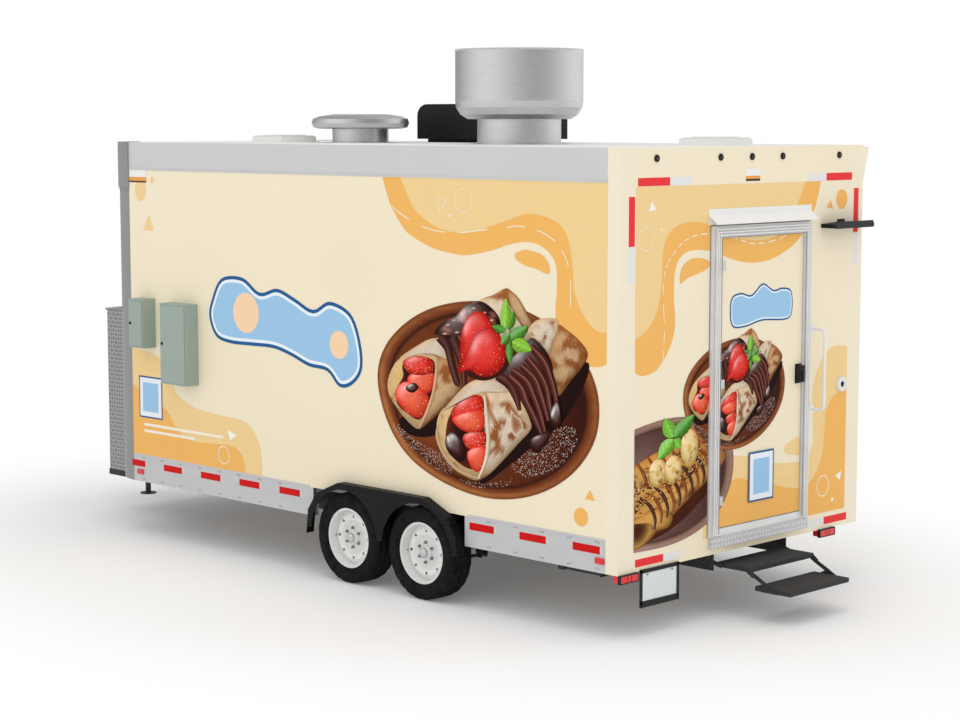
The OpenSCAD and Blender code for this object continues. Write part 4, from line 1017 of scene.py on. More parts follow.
def banana_plate():
    """Two filled pancakes on a stoneware plate, with banana, caramel and mint."""
    p = Picture()
    plate(p, [(-3.6, 6.6), (-2.6, 4.4), (-0.4, 3.6), (2.2, 3.1), (4.4, 3.4), (6.0, 4.4), (6.8, 6.0),
              (6.6, 8.4), (5.4, 10.4), (3.4, 11.4), (1.0, 11.6), (-1.6, 11.2), (-3.2, 9.2)],
          ink_of("#8C6A58"), ink_of("#B4948A"), (ink_of("#7E5F58"), ink_of("#5A3A34"), ink_of("#3A221D")),
          (1.6, 7.4))
    gold, tan, brown = ink_of("#E0AC5C"), ink_of("#BC7830"), ink_of("#7A3A10")
    caramel, deep = ink_of("#96480F"), ink_of("#4A1E08")
    p.blob(flip([(-0.6, 11.0), (2.4, 10.6), (5.2, 8.4), (5.8, 6.4), (3.2, 6.2), (-0.4, 8.6)]), deep, puff=0.1)
    p.blob(flip([(-1.2, 6.6), (0.6, 5.6), (2.4, 4.9), (4.4, 4.6), (5.4, 5.2), (5.0, 6.2), (2.6, 7.4),
                 (0.4, 8.6), (-1.4, 8.8)]), gold, tan, 0.8, spots=(brown, 0.4, 1.6))
    p.blob(flip([(-0.6, 9.4), (0.8, 8.2), (2.6, 7.0), (4.6, 5.8), (5.8, 5.6), (6.2, 6.4), (5.2, 7.6),
                 (3.4, 9.0), (1.8, 10.4), (0.2, 11.4), (-0.8, 10.8)]), gold, tan, 0.85,
           spots=(brown, 0.38, 1.6))
    p.blob(flip([(-0.7, 9.6), (0.1, 9.1), (0.9, 9.3), (1.2, 10.0), (0.9, 10.8), (0.2, 11.3), (-0.6, 11.0)]),
           deep, gold, 0.3)
    p.blob(flip([(-0.3, 9.6), (0.6, 9.2), (1.7, 9.0), (2.6, 9.6), (2.4, 10.3), (1.5, 10.4), (0.9, 9.8)]),
           gold, tan, 0.8)
    for k in range(11):
        x, y = 1.0 + k * 0.42, 8.6 - k * 0.31
        p.strand(flip([(x - 0.5, y - 0.5), (x + 0.1, y + 0.1), (x + 0.45, y + 1.0), (x + 0.4, y + 1.7)]),
                 [0.12, 0.26, 0.2, 0.14], caramel if k % 2 else deep, 0.5)
    for k in range(7):
        x, y = -0.9 + k * 0.7, 7.0 - k * 0.3
        p.strand(flip([(x - 0.3, y - 0.7), (x + 0.1, y), (x + 0.5, y + 1.1)]), [0.12, 0.24, 0.14], caramel,
                 0.5)
    p.dots(240, lambda a, b: (-0.8 + 6.2 * a, -(8.6 - 3.2 * a + 2.2 * (b - 0.5))), ink_of("#5A2A0E"), 0.03,
           0.1, 21)
    p.dots(160, lambda a, b: (-0.8 + 6.2 * a, -(8.2 - 3.2 * a + 2.2 * (b - 0.5))), ink_of("#FFE6B0"), 0.02,
           0.06, 22)
    slice_ink, rind = ink_of("#F8E3A0"), ink_of("#D9A63F")
    for x, y, w, h in ((1.6, 6.6, 0.62, 0.95), (2.65, 6.55, 0.62, 0.95), (3.75, 5.3, 0.62, 1.3)):
        p.blob([(x + w * math.cos(a), -y + h * math.sin(a)) for a in (k * math.pi / 4 for k in range(8))],
               slice_ink, rind, 0.5, 0.3, spots=(ink_of("#B8702A"), 0.25, 3.0))
        p.blob([(x + w * .3 * math.cos(a), -y + h * .3 * math.sin(a)) for a in (k * math.pi / 3
                for k in range(6))], ink_of("#E8C060"), slice_ink, 0.2, 0.2)
    green, leafy = ink_of("#7CC23C"), ink_of("#4E9A2C")
    for base, tip, width, ink in [((2.6, 4.4), (2.0, 3.05), 0.42, green), ((2.7, 4.4), (4.05, 3.1), 0.46,
            leafy), ((2.7, 4.5), (3.1, 5.2), 0.3, green), ((2.6, 4.5), (1.6, 5.7), 0.46, green)]:
        p.leaf((base[0], -base[1]), (tip[0], -tip[1]), width, ink)
    return p


def projective(width, height, quad):
    """Maps a sheet, y down, onto four wall points: top left, top right, bottom right, bottom left."""
    rows, values = [], []
    for (x, y), (u, v) in zip(((0, 0), (width, 0), (width, height), (0, height)), quad):
        rows += [[x, y, 1, 0, 0, 0, -u * x, -u * y], [0, 0, 0, x, y, 1, -v * x, -v * y]]
        values += [u, v]
    h = np.linalg.solve(np.array(rows, float), np.array(values, float))

    def place(x, y):
        w = h[6] * x + h[7] * y + 1
        return (h[0] * x + h[1] * y + h[2]) / w, (h[3] * x + h[4] * y + h[5]) / w
    return place


def hang_picture(name, picture, quad, targets, layer, sheet=(15.6, 15.3)):
    """Prints a picture on walls."""
    place = projective(*sheet, quad)
    verts = [(*place(x, -y), z) for x, y, z in picture.verts]
    lay(name, verts, picture.faces, layer, targets, food_print(), picture.inks)


# ---------------------------------------------------------------- sizes and colours


def colour_setting(name, text, description):
    return bpy.props.FloatVectorProperty(name=name, description=description, default=linear(text)[:3],
                                         subtype="COLOR", min=0.0, max=1.0, size=3)


def length_setting(name, value, description):
    return bpy.props.FloatProperty(name=name, description=description, default=value, min=0.0005,
                                   unit="LENGTH", subtype="DISTANCE")


class TrailerColours(bpy.types.PropertyGroup):
    """Inks and enamels"""
    pale: colour_setting("Pale orange", "#F1D195", "Ink of the wide wave")
    orange: colour_setting("Orange", "#F2B863", "Ink of the narrow wave")
    line: colour_setting("Line", "#F5E6C6", "Ink of the dashed line")
    banner: colour_setting("Banner", "#9CC7E8", "Ink inside the banner")
    outline: colour_setting("Outline", "#1E5C93", "Ink round the banner and the cards")
    red: colour_setting("Rear tape", "#F43A3E", "Red cells of the reflective tape")
    skirt_red: colour_setting("Skirt tape", "#D60A0A", "Red cells of the tape on the skirts")
    sage: colour_setting("Sage", "#9DABA1", "Enamel of the electrical boxes")


class TrailerSizes(bpy.types.PropertyGroup):
    """Sizes of the small parts"""
    tape: length_setting("Tape width", 0.05, "Width of the reflective tape")
    marker: length_setting("Marker radius", 0.023, "Radius of a rear marker light")
    rivet: length_setting("Rivet radius", 0.006, "Radius of a skirt rivet")
    nut: length_setting("Wheel nut", 0.0105, "Radius of a wheel nut")
    rib: length_setting("Door rib", 0.006, "Height of the ribs on the door frame")
    seam: length_setting("Seam", 0.003, "Height of a sheet's seam")


def colours():
    return bpy.context.scene.trailer_colours


def sizes():
    return bpy.context.scene.trailer_sizes


# ---------------------------------------------------------------- pieces

class Step(bpy.types.Operator):
    bl_options = {"REGISTER", "UNDO"}

    def execute(self, context):
        self.make()
        return {"FINISHED"}


def paint(node, material):
    """Puts one material on a CAD node."""
    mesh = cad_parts[node].data
    if mesh.materials:
        for index in range(len(mesh.materials)):
            mesh.materials[index] = material
    else:
        mesh.materials.append(material)


class TRAILER_OT_finishes(Step):
    """Puts a finish on every CAD node"""
    bl_idname = "trailer.finishes"
    bl_label = "Finishes"

    def make(self):
        cream = enamel("cream", "#F6EAD1", 0.45)
        grey = enamel("grey", "#CFCFCF", 0.5)
        # front corner posts and nose wall: grey darkened with painted shade
        shade = enamel(*GREY_IN_PAINTED_SHADE)
        white = enamel("white", "#F0F0EE", 0.35)
        bright = tread_plate("bright", "#C6C6C8", "#F2F2F2", 0.2, 34)
        # a darker copy of the bright tread plate, for the front box
        mid_grey = tread_plate("mid_grey", "#8A8B8D", "#C8C9CB", 0.2, 34)
        mill = mill_aluminium(*SHEET)
        chosen = {"street_wall": wall_film("street"), "curb_wall": wall_film("curb"),
                  "rear_wall": wall_film("rear"), "entry_door": wall_film("rear"),
                  "serving_hatch": wall_film("curb"), "rear_corner_posts": cream, "hatch_hood": cream,
                  "top_rails": grey, "front_corner_posts": shade, "nose_wall": shade,
                  "roof": roof_membrane(), "floor": plywood(), "door_drip_cap": white, "grab_handle": white,
                  "water_inlet": moulded_plastic(*WHITE_ABS), "roof_vents": moulded_plastic(*WHITE_ABS),
                  "rear_floodlight": moulded_plastic("lamp_black", "#0D0D0E", 0.5),
                  "air_conditioner": moulded_plastic("charcoal", "#08080A", 0.45),
                  "tail_lights": lamp_lens(*RED_LENS), "licence_plate": enamel("plate", "#DDE3E2", 0.35),
                  "electrical_boxes": enamel("sage", "#9DABA1", 0.55), "exhaust_bowl": stainless_steel(),
                  "exhaust_motor": stainless_steel(), "mushroom_vent": stainless_steel(),
                  "side_skirts": mill_aluminium("skirt", "#C2C2C3", "#CACACB"), "door_frame": mill,
                  "service_window": mill, "serving_shelf": mill, "threshold_plate": bright,
                  "front_box": mid_grey, "front_box_lid": mid_grey, "fenders": tread_plate("black", "#08080A",
                "#1C1C1E", 0.0, 30), "coupler": zinc_plate(), }
        wheels = enamel("wheel", "#ECECEA", 0.35)
        black = black_steel("chassis", "#151516", "#232324")
        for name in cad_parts:
            if name in chosen:
                paint(name, chosen[name])
            elif name.startswith("tyre"):
                paint(name, tyre_rubber())
            elif name.startswith("wheel"):
                paint(name, wheels)
            elif name.startswith("step"):
                paint(name, grip_coating())
            else:
                paint(name, black)


WAVE_OUT = [(2.17, 2.91), (2.12, 2.79), (2.07, 2.69), (1.94, 2.54), (1.8, 2.47), (1.64, 2.42), (1.5, 2.4),
            (1.36, 2.39), (1.22, 2.41), (1.08, 2.44), (.94, 2.48), (.81, 2.5), (.7, 2.49), (.61, 2.45),
            (.55, 2.39), (.53, 2.31), (.53, 2.19), (.54, 2.05), (.5, 1.9), (.41, 1.81), (.29, 1.75),
            (.18, 1.74), (.09, 1.77)]
WAVE_IN = [(1.99, 2.91), (1.93, 2.81), (1.85, 2.69), (1.73, 2.61), (1.6, 2.56), (1.47, 2.54), (1.33, 2.54),
           (1.19, 2.57), (1.05, 2.61), (.92, 2.65), (.81, 2.68), (.7, 2.68), (.6, 2.66), (.5, 2.62),
           (.44, 2.55), (.41, 2.45), (.39, 2.34), (.38, 2.22), (.33, 2.1), (.26, 2.02), (.19, 1.97),
           (.09, 1.96)]
DROP = [(.9, 2.41), (.88, 2.43), (.81, 2.45), (.72, 2.44), (.65, 2.42), (.6, 2.37), (.59, 2.31), (.64, 2.31),
        (.7, 2.33), (.81, 2.35), (.88, 2.38)]
DASHES = [(2.06, 2.69), (1.94, 2.63), (1.77, 2.57), (1.6, 2.54), (1.41, 2.54), (1.22, 2.56), (.97, 2.59),
          (.85, 2.6), (.7, 2.58), (.57, 2.53), (.49, 2.46), (.44, 2.39), (.41, 2.28), (.41, 2.15), (.42, 2.0)]
LOW_OUT = [(5.2, 1.51), (5.11, 1.50), (4.86, 1.47), (4.67, 1.41), (4.58, 1.28), (4.52, 1.17), (4.30, 1.09),
           (3.99, 1.06), (3.69, 1.04), (3.54, .92), (3.50, .77), (3.50, .6)]
LOW_IN = [(5.2, 1.22), (5.08, 1.2), (4.87, 1.09), (4.68, 1.05), (4.54, .91), (4.39, .83), (4.12, .83),
          (3.87, .84), (3.73, .78), (3.68, .6)]
CLOUD = [(4.07, 1.93), (3.95, 2.10), (3.7, 2.12), (3.5, 2.02), (3.3, 2.06), (3.1, 2.0), (2.9, 1.93),
         (2.72, 2.0), (2.5, 1.93), (2.40, 1.75), (2.38, 1.55), (2.48, 1.43), (2.62, 1.40), (2.75, 1.5),
         (2.95, 1.52), (3.15, 1.58), (3.35, 1.62), (3.6, 1.62), (3.85, 1.62), (4.02, 1.66), (4.1, 1.8)]


MOTIFS = {"oval": (4.949, 2.741), "dot": (4.797, 2.821), "triangle": [(4.844, 2.549), (4.925, 2.429),
        (4.783, 2.427)], "low triangle": [(0.236, 0.953), (0.278, 0.89), (0.193, 0.888)],
          "low oval": (0.312, 0.769)}


def shape(name, points, layer, targets, colour, smooth=True):
    """A printed shape in one ink."""
    outline = smooth_loop(points, 5) if smooth else [Vector(p) for p in points]
    film(name, outline, layer, targets, printed_film(name.rsplit("_", 1)[-1], tuple(colour), tuple(colour)))


def region(edge, *corners):
    """An outline from a smooth edge and plain corners."""
    return [tuple(p) for p in open_curve(edge, 5)] + list(corners)


def line_film(name, points, width, layer, targets, colour, dashes=0):
    verts, faces = ribbon(points, width, dashes)
    lay(name, verts, faces, layer, targets, printed_film("line", tuple(colour), tuple(colour)))


def outline_film(name, points, layer, targets, colour):
    """A thin closed outline with straight sides."""
    middle = sum((Vector(p) for p in points), Vector((0, 0))) / len(points)
    inner = [middle + (Vector(p) - middle) * 0.78 for p in points]
    count = len(points)
    verts = [(p[0], p[1], 0.0) for p in list(points) + inner]
    faces = [(i, (i + 1) % count, count + (i + 1) % count, count + i) for i in range(count)]
    lay(name, verts, faces, layer, targets, printed_film("line", tuple(colour), tuple(colour)))


def ring_film(name, u, v, ru, rv, layer, targets, colour):
    verts, faces = ring_shape(u, v, ru, rv, 0.007)
    lay(name, verts, faces, layer, targets, printed_film("line", tuple(colour), tuple(colour)))


def card(name, u0, u1, v0, v1, layer, targets):
    """A blank white card with a blue border."""
    c = colours()
    turned = 1 if u1 > u0 else -1
    for index, (grow, ink) in enumerate(((0.0, c.outline), (0.012, (0.83, 0.87, 0.91)), (0.05, c.banner))):
        corners = [(u0 + turned * grow, v0 + grow), (u1 - turned * grow, v0 + grow),
                   (u1 - turned * grow, v1 - grow), (u0 + turned * grow, v1 - grow)]
        shape(f"{name}_{index}", corners, layer + index, targets, ink, False)


def waves(name, targets):
    """The two-tone wave in a side wall's upper rear corner and lower front corner."""
    c = colours()
    white = (0.93, 0.9, 0.83)
    top = [(0.05, 2.95), (2.2, 2.95)]
    shape(name + "_top_orange", region(WAVE_OUT, (0.05, 1.77), *top), 1, targets, c.orange, False)
    shape(name + "_top_pale", region(WAVE_IN, (0.05, 1.96), *top), 2, targets, c.pale, False)
    shape(name + "_drop_orange", DROP, 3, targets, c.orange)
    line_film(name + "_dashes", DASHES, 0.009, 4, targets, c.line, 7)
    outline_film(name + "_triangle", [(1.63, 2.78), (1.52, 2.75), (1.6, 2.67)], 4, targets, c.line)
    ring_film(name + "_ring", 1.37, 2.75, 0.085, 0.085, 4, targets, c.line)
    shape(name + "_dot_line", oval(1.5, 2.65, 0.014, 0.014), 4, targets, c.line, False)
    shape(name + "_low_pale", region(LOW_OUT, (5.2, 0.6)), 1, targets, c.pale, False)
    shape(name + "_low_orange", region(LOW_IN, (5.2, 0.6)), 2, targets, c.orange, False)
    shape(name + "_spot_white", [(3.9, .96), (3.79, .93), (3.87, .88)], 4, targets, white, False)
    ring_film(name + "_low_ring", 3.95, 0.76, 0.07, 0.07, 4, targets, (0.95, 0.85, 0.7))
    shape(name + "_top_oval", oval(*MOTIFS["oval"], 0.07, 0.085), 2, targets, c.pale, False)
    shape(name + "_top_dot", oval(*MOTIFS["dot"], 0.022, 0.028), 2, targets, c.pale, False)
    shape(name + "_top_triangle", MOTIFS["triangle"], 2, targets, c.pale, False)
    shape(name + "_low_triangle", MOTIFS["low triangle"], 3, targets, c.orange, False)
    shape(name + "_rear_oval", oval(*MOTIFS["low oval"], 0.06, 0.06), 3, targets, c.orange, False)


def inset(points, depth):
    """A smooth outline drawn in by a depth."""
    rim = smooth_loop(points, 5)
    area = sum(rim[i - 1].cross(rim[i]) for i in range(len(rim)))
    turn = 1 if area > 0 else -1
    out = []
    for i, p in enumerate(rim):
        way = (rim[(i + 1) % len(rim)] - rim[i - 1]).normalized()
        out.append(p + Vector((-way.y, way.x)) * depth * turn)
    return out


def banner(name, outline, targets, layer, border):
    """A blank cloud-shaped banner: a dark outline, a white line inside it and a pale fill."""
    c = colours()
    for index, (depth, ink) in enumerate(((0.0, c.outline), (border, (0.82, 0.9, 0.95)),
                                          (border * 1.9, c.banner))):
        shape(f"{name}_{index}", inset(outline, depth), layer + index, targets, ink, False)


class TRAILER_OT_street_film(Step):
    """Prints the street wall: waves, banner, card and the strawberry plate"""
    bl_idname = "trailer.street_film"
    bl_label = "Street film"

    def make(self):
        waves("street", STREET)
        banner("street_banner", CLOUD, STREET, 5, 0.026)
        for index, (u, v, r) in enumerate(((3.66, 1.86, 0.15), (2.62, 1.7, 0.1))):
            shape(f"street_banner_spot_{index}", oval(u, v, r, r), 8, STREET, (0.95, 0.66, 0.42), False)
        card("street_card", 4.71, 5.01, 0.95, 1.28, 5, STREET)
        for index, (u0, u1, v) in enumerate(((4.95, 3.95, 0.885), (4.95, 4.3, 0.835))):
            shape(f"street_bar_{index}", [(u0, v), (u1, v), (u1, v + 0.022), (u0, v + 0.022)], 5, STREET,
                  (0.93, 0.86, 0.72), False)
        for index, (low, high, ink) in enumerate(((2.8, 2.9, (0.86, 0.85, 0.83)),
                                                  (2.812, 2.842, (0.85, 0.36, 0.08)),
                                                  (2.8, 2.812, (0.05, 0.04, 0.04)))):
            shape(f"street_sticker_{index}", [(4.87, low), (5.09, low), (5.09, high), (4.87, high)],
                  5 + index, STREET, ink, False)
        hang_picture("street_plate", strawberry_plate(), [(2.242, 2.179), (.09, 2.293), (.077, .849),
                                                          (2.255, .564)], STREET, 6)


class TRAILER_OT_curb_film(Step):
    """Prints the curb wall and the serving hatch"""
    bl_idname = "trailer.curb_film"
    bl_label = "Curb film"

    def make(self):
        side = [(on_curb, (STREET_RECT[0], HATCH_LOW.x - REAR_X - 0.012, STREET_RECT[2], 2.84), "trailer"),
                (on_curb, (HATCH_HIGH.x - REAR_X + 0.012, STREET_RECT[1], STREET_RECT[2], 2.84), "trailer"),
                (on_curb, (HATCH_LOW.x - REAR_X - 0.012, HATCH_HIGH.x - REAR_X + 0.012, STREET_RECT[2],
                           1.13), "trailer")]
        hatch = [(on_hatch, (HATCH_LOW.x - REAR_X + 0.01, HATCH_HIGH.x - REAR_X - 0.01, HATCH_LOW.z + 0.01,
                             HATCH_HIGH.z - 0.01), "hatch")]
        waves("curb", side)
        quad = [(1.62, 2.58), (3.07, 2.58), (3.07, 1.56), (1.62, 1.56)]
        hang_picture("hatch_plate", strawberry_plate(), quad, hatch, 2)
        banner("hatch_banner", [(3.45 + 0.5 * (u - 3.2), 2.05 + 0.5 * (v - 1.78)) for u, v in CLOUD], hatch,
               2, 0.014)


REAR_OUT = [(-.802, 2.88), (-.731, 2.682), (-.671, 2.621), (-.595, 2.53), (-.492, 2.45), (-.373, 2.399),
            (-.238, 2.358), (-.088, 2.343), (.045, 2.348), (.176, 2.372), (.306, 2.411), (.386, 2.435),
            (.496, 2.449), (.59, 2.451), (.667, 2.434), (.735, 2.384), (.768, 2.288), (.769, 2.141),
            (.755, 2.013), (.773, 1.907), (.84, 1.794), (.937, 1.707), (1.033, 1.682), (1.093, 1.684),
            (1.16, 1.712)]
REAR_IN = [(-.63, 2.88), (-.503, 2.678), (-.419, 2.593), (-.352, 2.539), (-.251, 2.501), (-.117, 2.488),
           (.015, 2.494), (.147, 2.517), (.277, 2.557), (.373, 2.59), (.5, 2.624), (.609, 2.634),
           (.716, 2.621), (.807, 2.581), (.863, 2.515), (.887, 2.43), (.893, 2.294), (.913, 2.15),
           (.964, 2.037), (1.052, 1.956), (1.16, 1.912)]
REAR_DROP = [(.71, 2.246), (.711, 2.304), (.681, 2.357), (.604, 2.394), (.511, 2.398), (.432, 2.379),
             (.411, 2.354), (.447, 2.321), (.54, 2.296), (.633, 2.276), (.687, 2.249)]
REAR_DASHES = [(.877, 1.748), (.865, 1.952), (.881, 2.226), (.853, 2.35), (.808, 2.411), (.714, 2.49),
               (.599, 2.537), (.435, 2.551), (.179, 2.518), (.015, 2.476), (-.151, 2.47), (-.353, 2.50),
               (-.506, 2.564), (-.645, 2.616)]
REAR_LOW = [(-1.16, 1.697), (-1.05, 1.717), (-.95, 1.706), (-.879, 1.669), (-.818, 1.599), (-.767, 1.511),
            (-.743, 1.407), (-.746, 1.299), (-.756, 1.159), (-.754, 1.052), (-.693, .973), (-.605, .951),
            (-.5, .95), (-.36, .961), (-.257, .981), (-.12, 1.017), (.015, 1.052), (.147, 1.069), (.3, 1.06),
            (.42, .9), (.45, .5)]
REAR_LOW_IN = [(-1.16, 1.393), (-1.025, 1.381), (-.953, 1.333), (-.901, 1.252), (-.894, 1.177),
               (-.888, 1.07), (-.865, .954), (-.805, .853), (-.717, .777), (-.593, .762), (-.469, .778),
               (-.364, .805), (-.26, .835), (-.123, .876), (.045, .907), (.144, .909), (.3, .86), (.38, .7),
               (.4, .5)]
REAR_LOW_DASHES = [(.144, .924), (-.022, .892), (-.294, .859), (-.432, .849), (-.555, .856), (-.695, .919),
                   (-.801, .982), (-.86, 1.094), (-.864, 1.277)]


class TRAILER_OT_rear_film(Step):
    """Prints the rear wall and the entry door: waves, both plates, the banner and a card"""
    bl_idname = "trailer.rear_film"
    bl_label = "Rear film"

    def make(self):
        c = colours()
        white = (0.93, 0.9, 0.83)
        shape("rear_top_orange", region(REAR_OUT, (1.2, 1.7), (1.2, 2.9)), 1, REAR, c.orange, False)
        shape("rear_top_pale", region(REAR_IN, (1.2, 1.9), (1.2, 2.9)), 2, REAR, c.pale, False)
        shape("rear_drop_orange", REAR_DROP, 3, REAR, c.orange)
        line_film("rear_dashes", REAR_DASHES, 0.009, 4, REAR, c.line, 20)
        shape("rear_triangle_white", [(1.001, 2.777), (.952, 2.723), (1.026, 2.709)], 4, REAR, white, False)
        ring_film("rear_ring", 1.053, 2.541, 0.073, 0.076, 4, REAR, c.line)
        shape("rear_dot_line", oval(.9, 2.596, .012, .012), 4, REAR, c.line, False)
        shape("rear_oval_orange", oval(-1.045, 2.736, .066, .069), 2, REAR, c.orange, False)
        shape("rear_triangle_orange", [(-.913, 2.734), (-.946, 2.673), (-.866, 2.683)], 2, REAR, c.orange,
              False)
        shape("rear_low_pale", region(REAR_LOW, (-1.16, .5)), 1, REAR, c.pale, False)
        shape("rear_low_orange", region(REAR_LOW_IN, (-1.16, .5)), 2, REAR, c.orange, False)
        shape("rear_low_drop_pale", [(-.592, 1.113), (-.495, 1.102), (-.426, 1.077), (-.41, 1.048),
                                     (-.445, 1.017), (-.533, 1.0), (-.604, .996)], 3, REAR, c.pale)
        line_film("rear_low_dashes", REAR_LOW_DASHES, 0.009, 4, REAR, (0.97, 0.62, 0.2), 13)
        shape("rear_low_triangle_white", [(-1.102, .823), (-1.082, .754), (-1.029, .795)], 4, REAR, white,
              False)
        ring_film("rear_low_ring", -.88, .739, .073, .075, 4, REAR, (0.95, 0.85, 0.7))
        shape("rear_low_dot_white", oval(-.997, .628, .014, .014), 4, REAR, white, False)
        banner("rear_banner", [(.19, 1.94), (.2, 2.11), (.1, 2.15), (-.02, 2.13), (-.14, 2.2), (-.26, 2.15),
                               (-.36, 2.16), (-.46, 2.13), (-.47, 1.99), (-.4, 1.94), (-.14, 1.95),
                               (.05, 1.92)], REAR, 5, 0.011)
        hang_picture("rear_banana", banana_plate(), [(1.15, 1.687), (-.31, 1.687), (-.31, .518),
                                                     (1.15, .518)], REAR, 6, (10, 12))
        hang_picture("rear_strawberry", strawberry_plate(), [(.644, 1.904), (-.48, 1.96), (-.41, 1.146),
                                                             (.736, .993)], REAR, 9)
        card("rear_card", -.008, -.283, .735, 1.073, 22, REAR)


def tyre_shape(centre, side, radius, width):
    """A treaded tyre: bead, sidewall, shoulder blocks and grooves. side is 1 or -1, to the outside."""
    half, steps = width / 2, 96
    profile = [(0.222, -half * .86), (0.235, -half * .97), (0.262, -half), (0.292, -half * .97),
               (0.312, -half * .9), (0.3235, -half * .8), (0.3245, -half * .6), (0.3185, -half * .57),
               (0.3185, -half * .49), (0.3255, -half * .46), (0.3258, -half * .08), (0.319, -half * .055)]
    profile = [(r / 0.326 * radius, a) for r, a in profile]
    profile += [(r, -a) for r, a in profile[::-1]]
    bead, tread = 0.216 / 0.326 * radius, 0.306 / 0.326 * radius
    profile += [(bead, half * .86), (bead, -half * .86)]
    verts = []
    for r, along in profile:
        for i in range(steps):
            angle = 2 * math.pi * i / steps
            cut = 0.004 if r > tread and i % 4 == 0 and abs(along) > half * .5 else 0.0
            verts.append(Vector((centre[0] + (r - cut) * math.cos(angle), centre[1] + along * side,
                                 centre[2] + (r - cut) * math.sin(angle))))
    last = (len(profile) - 1) * steps
    faces = hoops(len(profile), steps)
    faces += [(last + i, last + (i + 1) % steps, (i + 1) % steps, i) for i in range(steps)]
    if side < 0:
        faces = [f[::-1] for f in faces]
    return verts, faces


class TRAILER_OT_wheels(Step):
    """Tyres with tread, wheel nuts, hub caps and valves"""
    bl_idname = "trailer.wheels"
    bl_label = "Wheels"

    def make(self):
        nut = sizes().nut
        for end in ("front", "rear"):
            for edge, side in (("street", 1), ("curb", -1)):
                body, tyre = f"wheel_body_{end}_{edge}", f"tyre_{end}_{edge}"
                low, high = ends(tyre)
                centre = (low + high) / 2
                radius = (high.z - low.z) / 2
                made = put(f"tyre_treaded_{end}_{edge}", *tyre_shape(centre, side, radius, high.y - low.y),
                           tyre_rubber(), body, "tyre_rubber", True)
                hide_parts(tyre)
                wheel_low, wheel_high = ends(f"wheel_{end}_{edge}")
                face = (wheel_high.y if side > 0 else wheel_low.y)
                parts = []
                for k in range(6):
                    angle = math.radians(30 + 60 * k)
                    spot = Vector((centre.x + 0.07 * math.cos(angle), face - side * 0.045,
                                   centre.z + 0.07 * math.sin(angle)))
                    parts.append(lathe(spot, (0, side, 0), [(nut * 1.3, 0), (nut * 1.3, 0.003),
                                                            (nut, 0.0031), (nut, 0.014), (nut * .75, 0.018),
                                                            (0.0001, 0.019)], 6))
                put(f"wheel_nuts_{end}_{edge}", *joined(parts), zinc_plate(), body, "zinc_plated_steel")
                cap = lathe(Vector((centre.x, face - side * 0.05, centre.z)), (0, side, 0),
                            [(0.034, 0), (0.036, 0.004), (0.036, 0.034), (0.031, 0.04), (0.022, 0.043),
                             (0.0001, 0.044)], 40)
                put(f"hub_cap_{end}_{edge}", *cap, stainless_steel(), body, "zinc_plated_steel", True)
                valve = pipe([(centre.x + .165, face - side * 0.03, centre.z),
                              (centre.x + .15, face - side * 0.012, centre.z)], 0.004)
                put(f"valve_{end}_{edge}", *valve, moulded_plastic(*BLACK_ABS), body, "tyre_rubber", True)


# Each electrical box: its ends along the wall, its face, and its height
ELECTRICAL = ((REAR_X + 4.245, REAR_X + 4.565, STREET_Y + 0.12, 1.266, 1.887),
              (REAR_X + 4.782, REAR_X + 4.967, STREET_Y + 0.122, 1.517, 1.899))
TAPE_TOP = 0.6  # height of the skirt tape's upper edge
TAPES = ((5.121, 4.948), (4.706, 4.474), (4.235, 3.995), (3.766, 3.529), (3.298, 3.065), (1.316, 1.086),
         (.852, .615), (.381, .149))


class TRAILER_OT_skirt_trim(Step):
    """Reflective tape, rivets, seams and marker lights on the skirts"""
    bl_idname = "trailer.skirt_trim"
    bl_label = "Skirt trim"

    def make(self):
        s = sizes()
        red, white = reflective_tape("skirt", tuple(colours().skirt_red)), reflective_tape("white",
                (0.66, 0.66, 0.66))
        for edge, side in (("street", 1), ("curb", -1)):
            face = SKIRT_HIGH.y if side > 0 else SKIRT_LOW.y

            def slab(u0, u1, v0, v1, depth):
                y0, y1 = sorted((face, face + side * depth))
                return soft_brick((REAR_X + min(u0, u1), y0, v0), (REAR_X + max(u0, u1), y1, v1), depth * 0.3)

            reds = [slab(u1, u0, TAPE_TOP - s.tape, TAPE_TOP, 0.0012) for u0, u1 in TAPES]
            whites = [slab(u1 - 0.03, u1, TAPE_TOP - s.tape, TAPE_TOP, 0.0012) for u0, u1 in TAPES]
            fit(f"skirt_tape_red_{edge}", reds, red, "red_lens")
            fit(f"skirt_tape_white_{edge}", whites, white, "white_plastic")
            spots, run = [], 0.24
            u = 0.16
            while u < 5.1:
                if not 1.34 < u < 3.05:
                    for v in (0.455, 0.625):
                        spots.append(rivet((REAR_X + u, face, v), (0, side, 0), s.rivet))
                        spots.append(rivet((REAR_X + u + 0.022, face, v), (0, side, 0), s.rivet))
                u += run
            fit(f"skirt_rivets_{edge}", spots, mill_aluminium("rivet", "#8E8F92", "#A9AAAD"),
                "mill_aluminium", True)
            marks = [slab(u, u + 0.075, 0.49, 0.528, 0.012) for u in (0.11, 4.97)]
            fit(f"skirt_markers_{edge}", marks, lamp_lens(*RED_LENS), "red_lens")
            outer = STREET_Y if side > 0 else CURB_Y
            # a rolled edge where the wall panel meets the skirt, and another along the panel's top
            y0, y1 = sorted((outer - side * 0.002, outer + side * s.seam))
            bands = bars(
                0.001,
                (WALL_LOW.x, y0, 0.638, REAR_X + 1.33, y1, 0.652),
                (REAR_X + 2.95, y0, 0.638, WALL_HIGH.x, y1, 0.652),
                (WALL_LOW.x, y0, 2.894, WALL_HIGH.x, y1, 2.912))
            fit(f"wall_edges_{edge}", bands, mill_aluminium(*EDGE), "mill_aluminium")


# The five marker lights in the rear header
MARKER_Y = (0.955, 0.312, -0.02, -0.354, -1.003)
MARKER_Z = 3.042


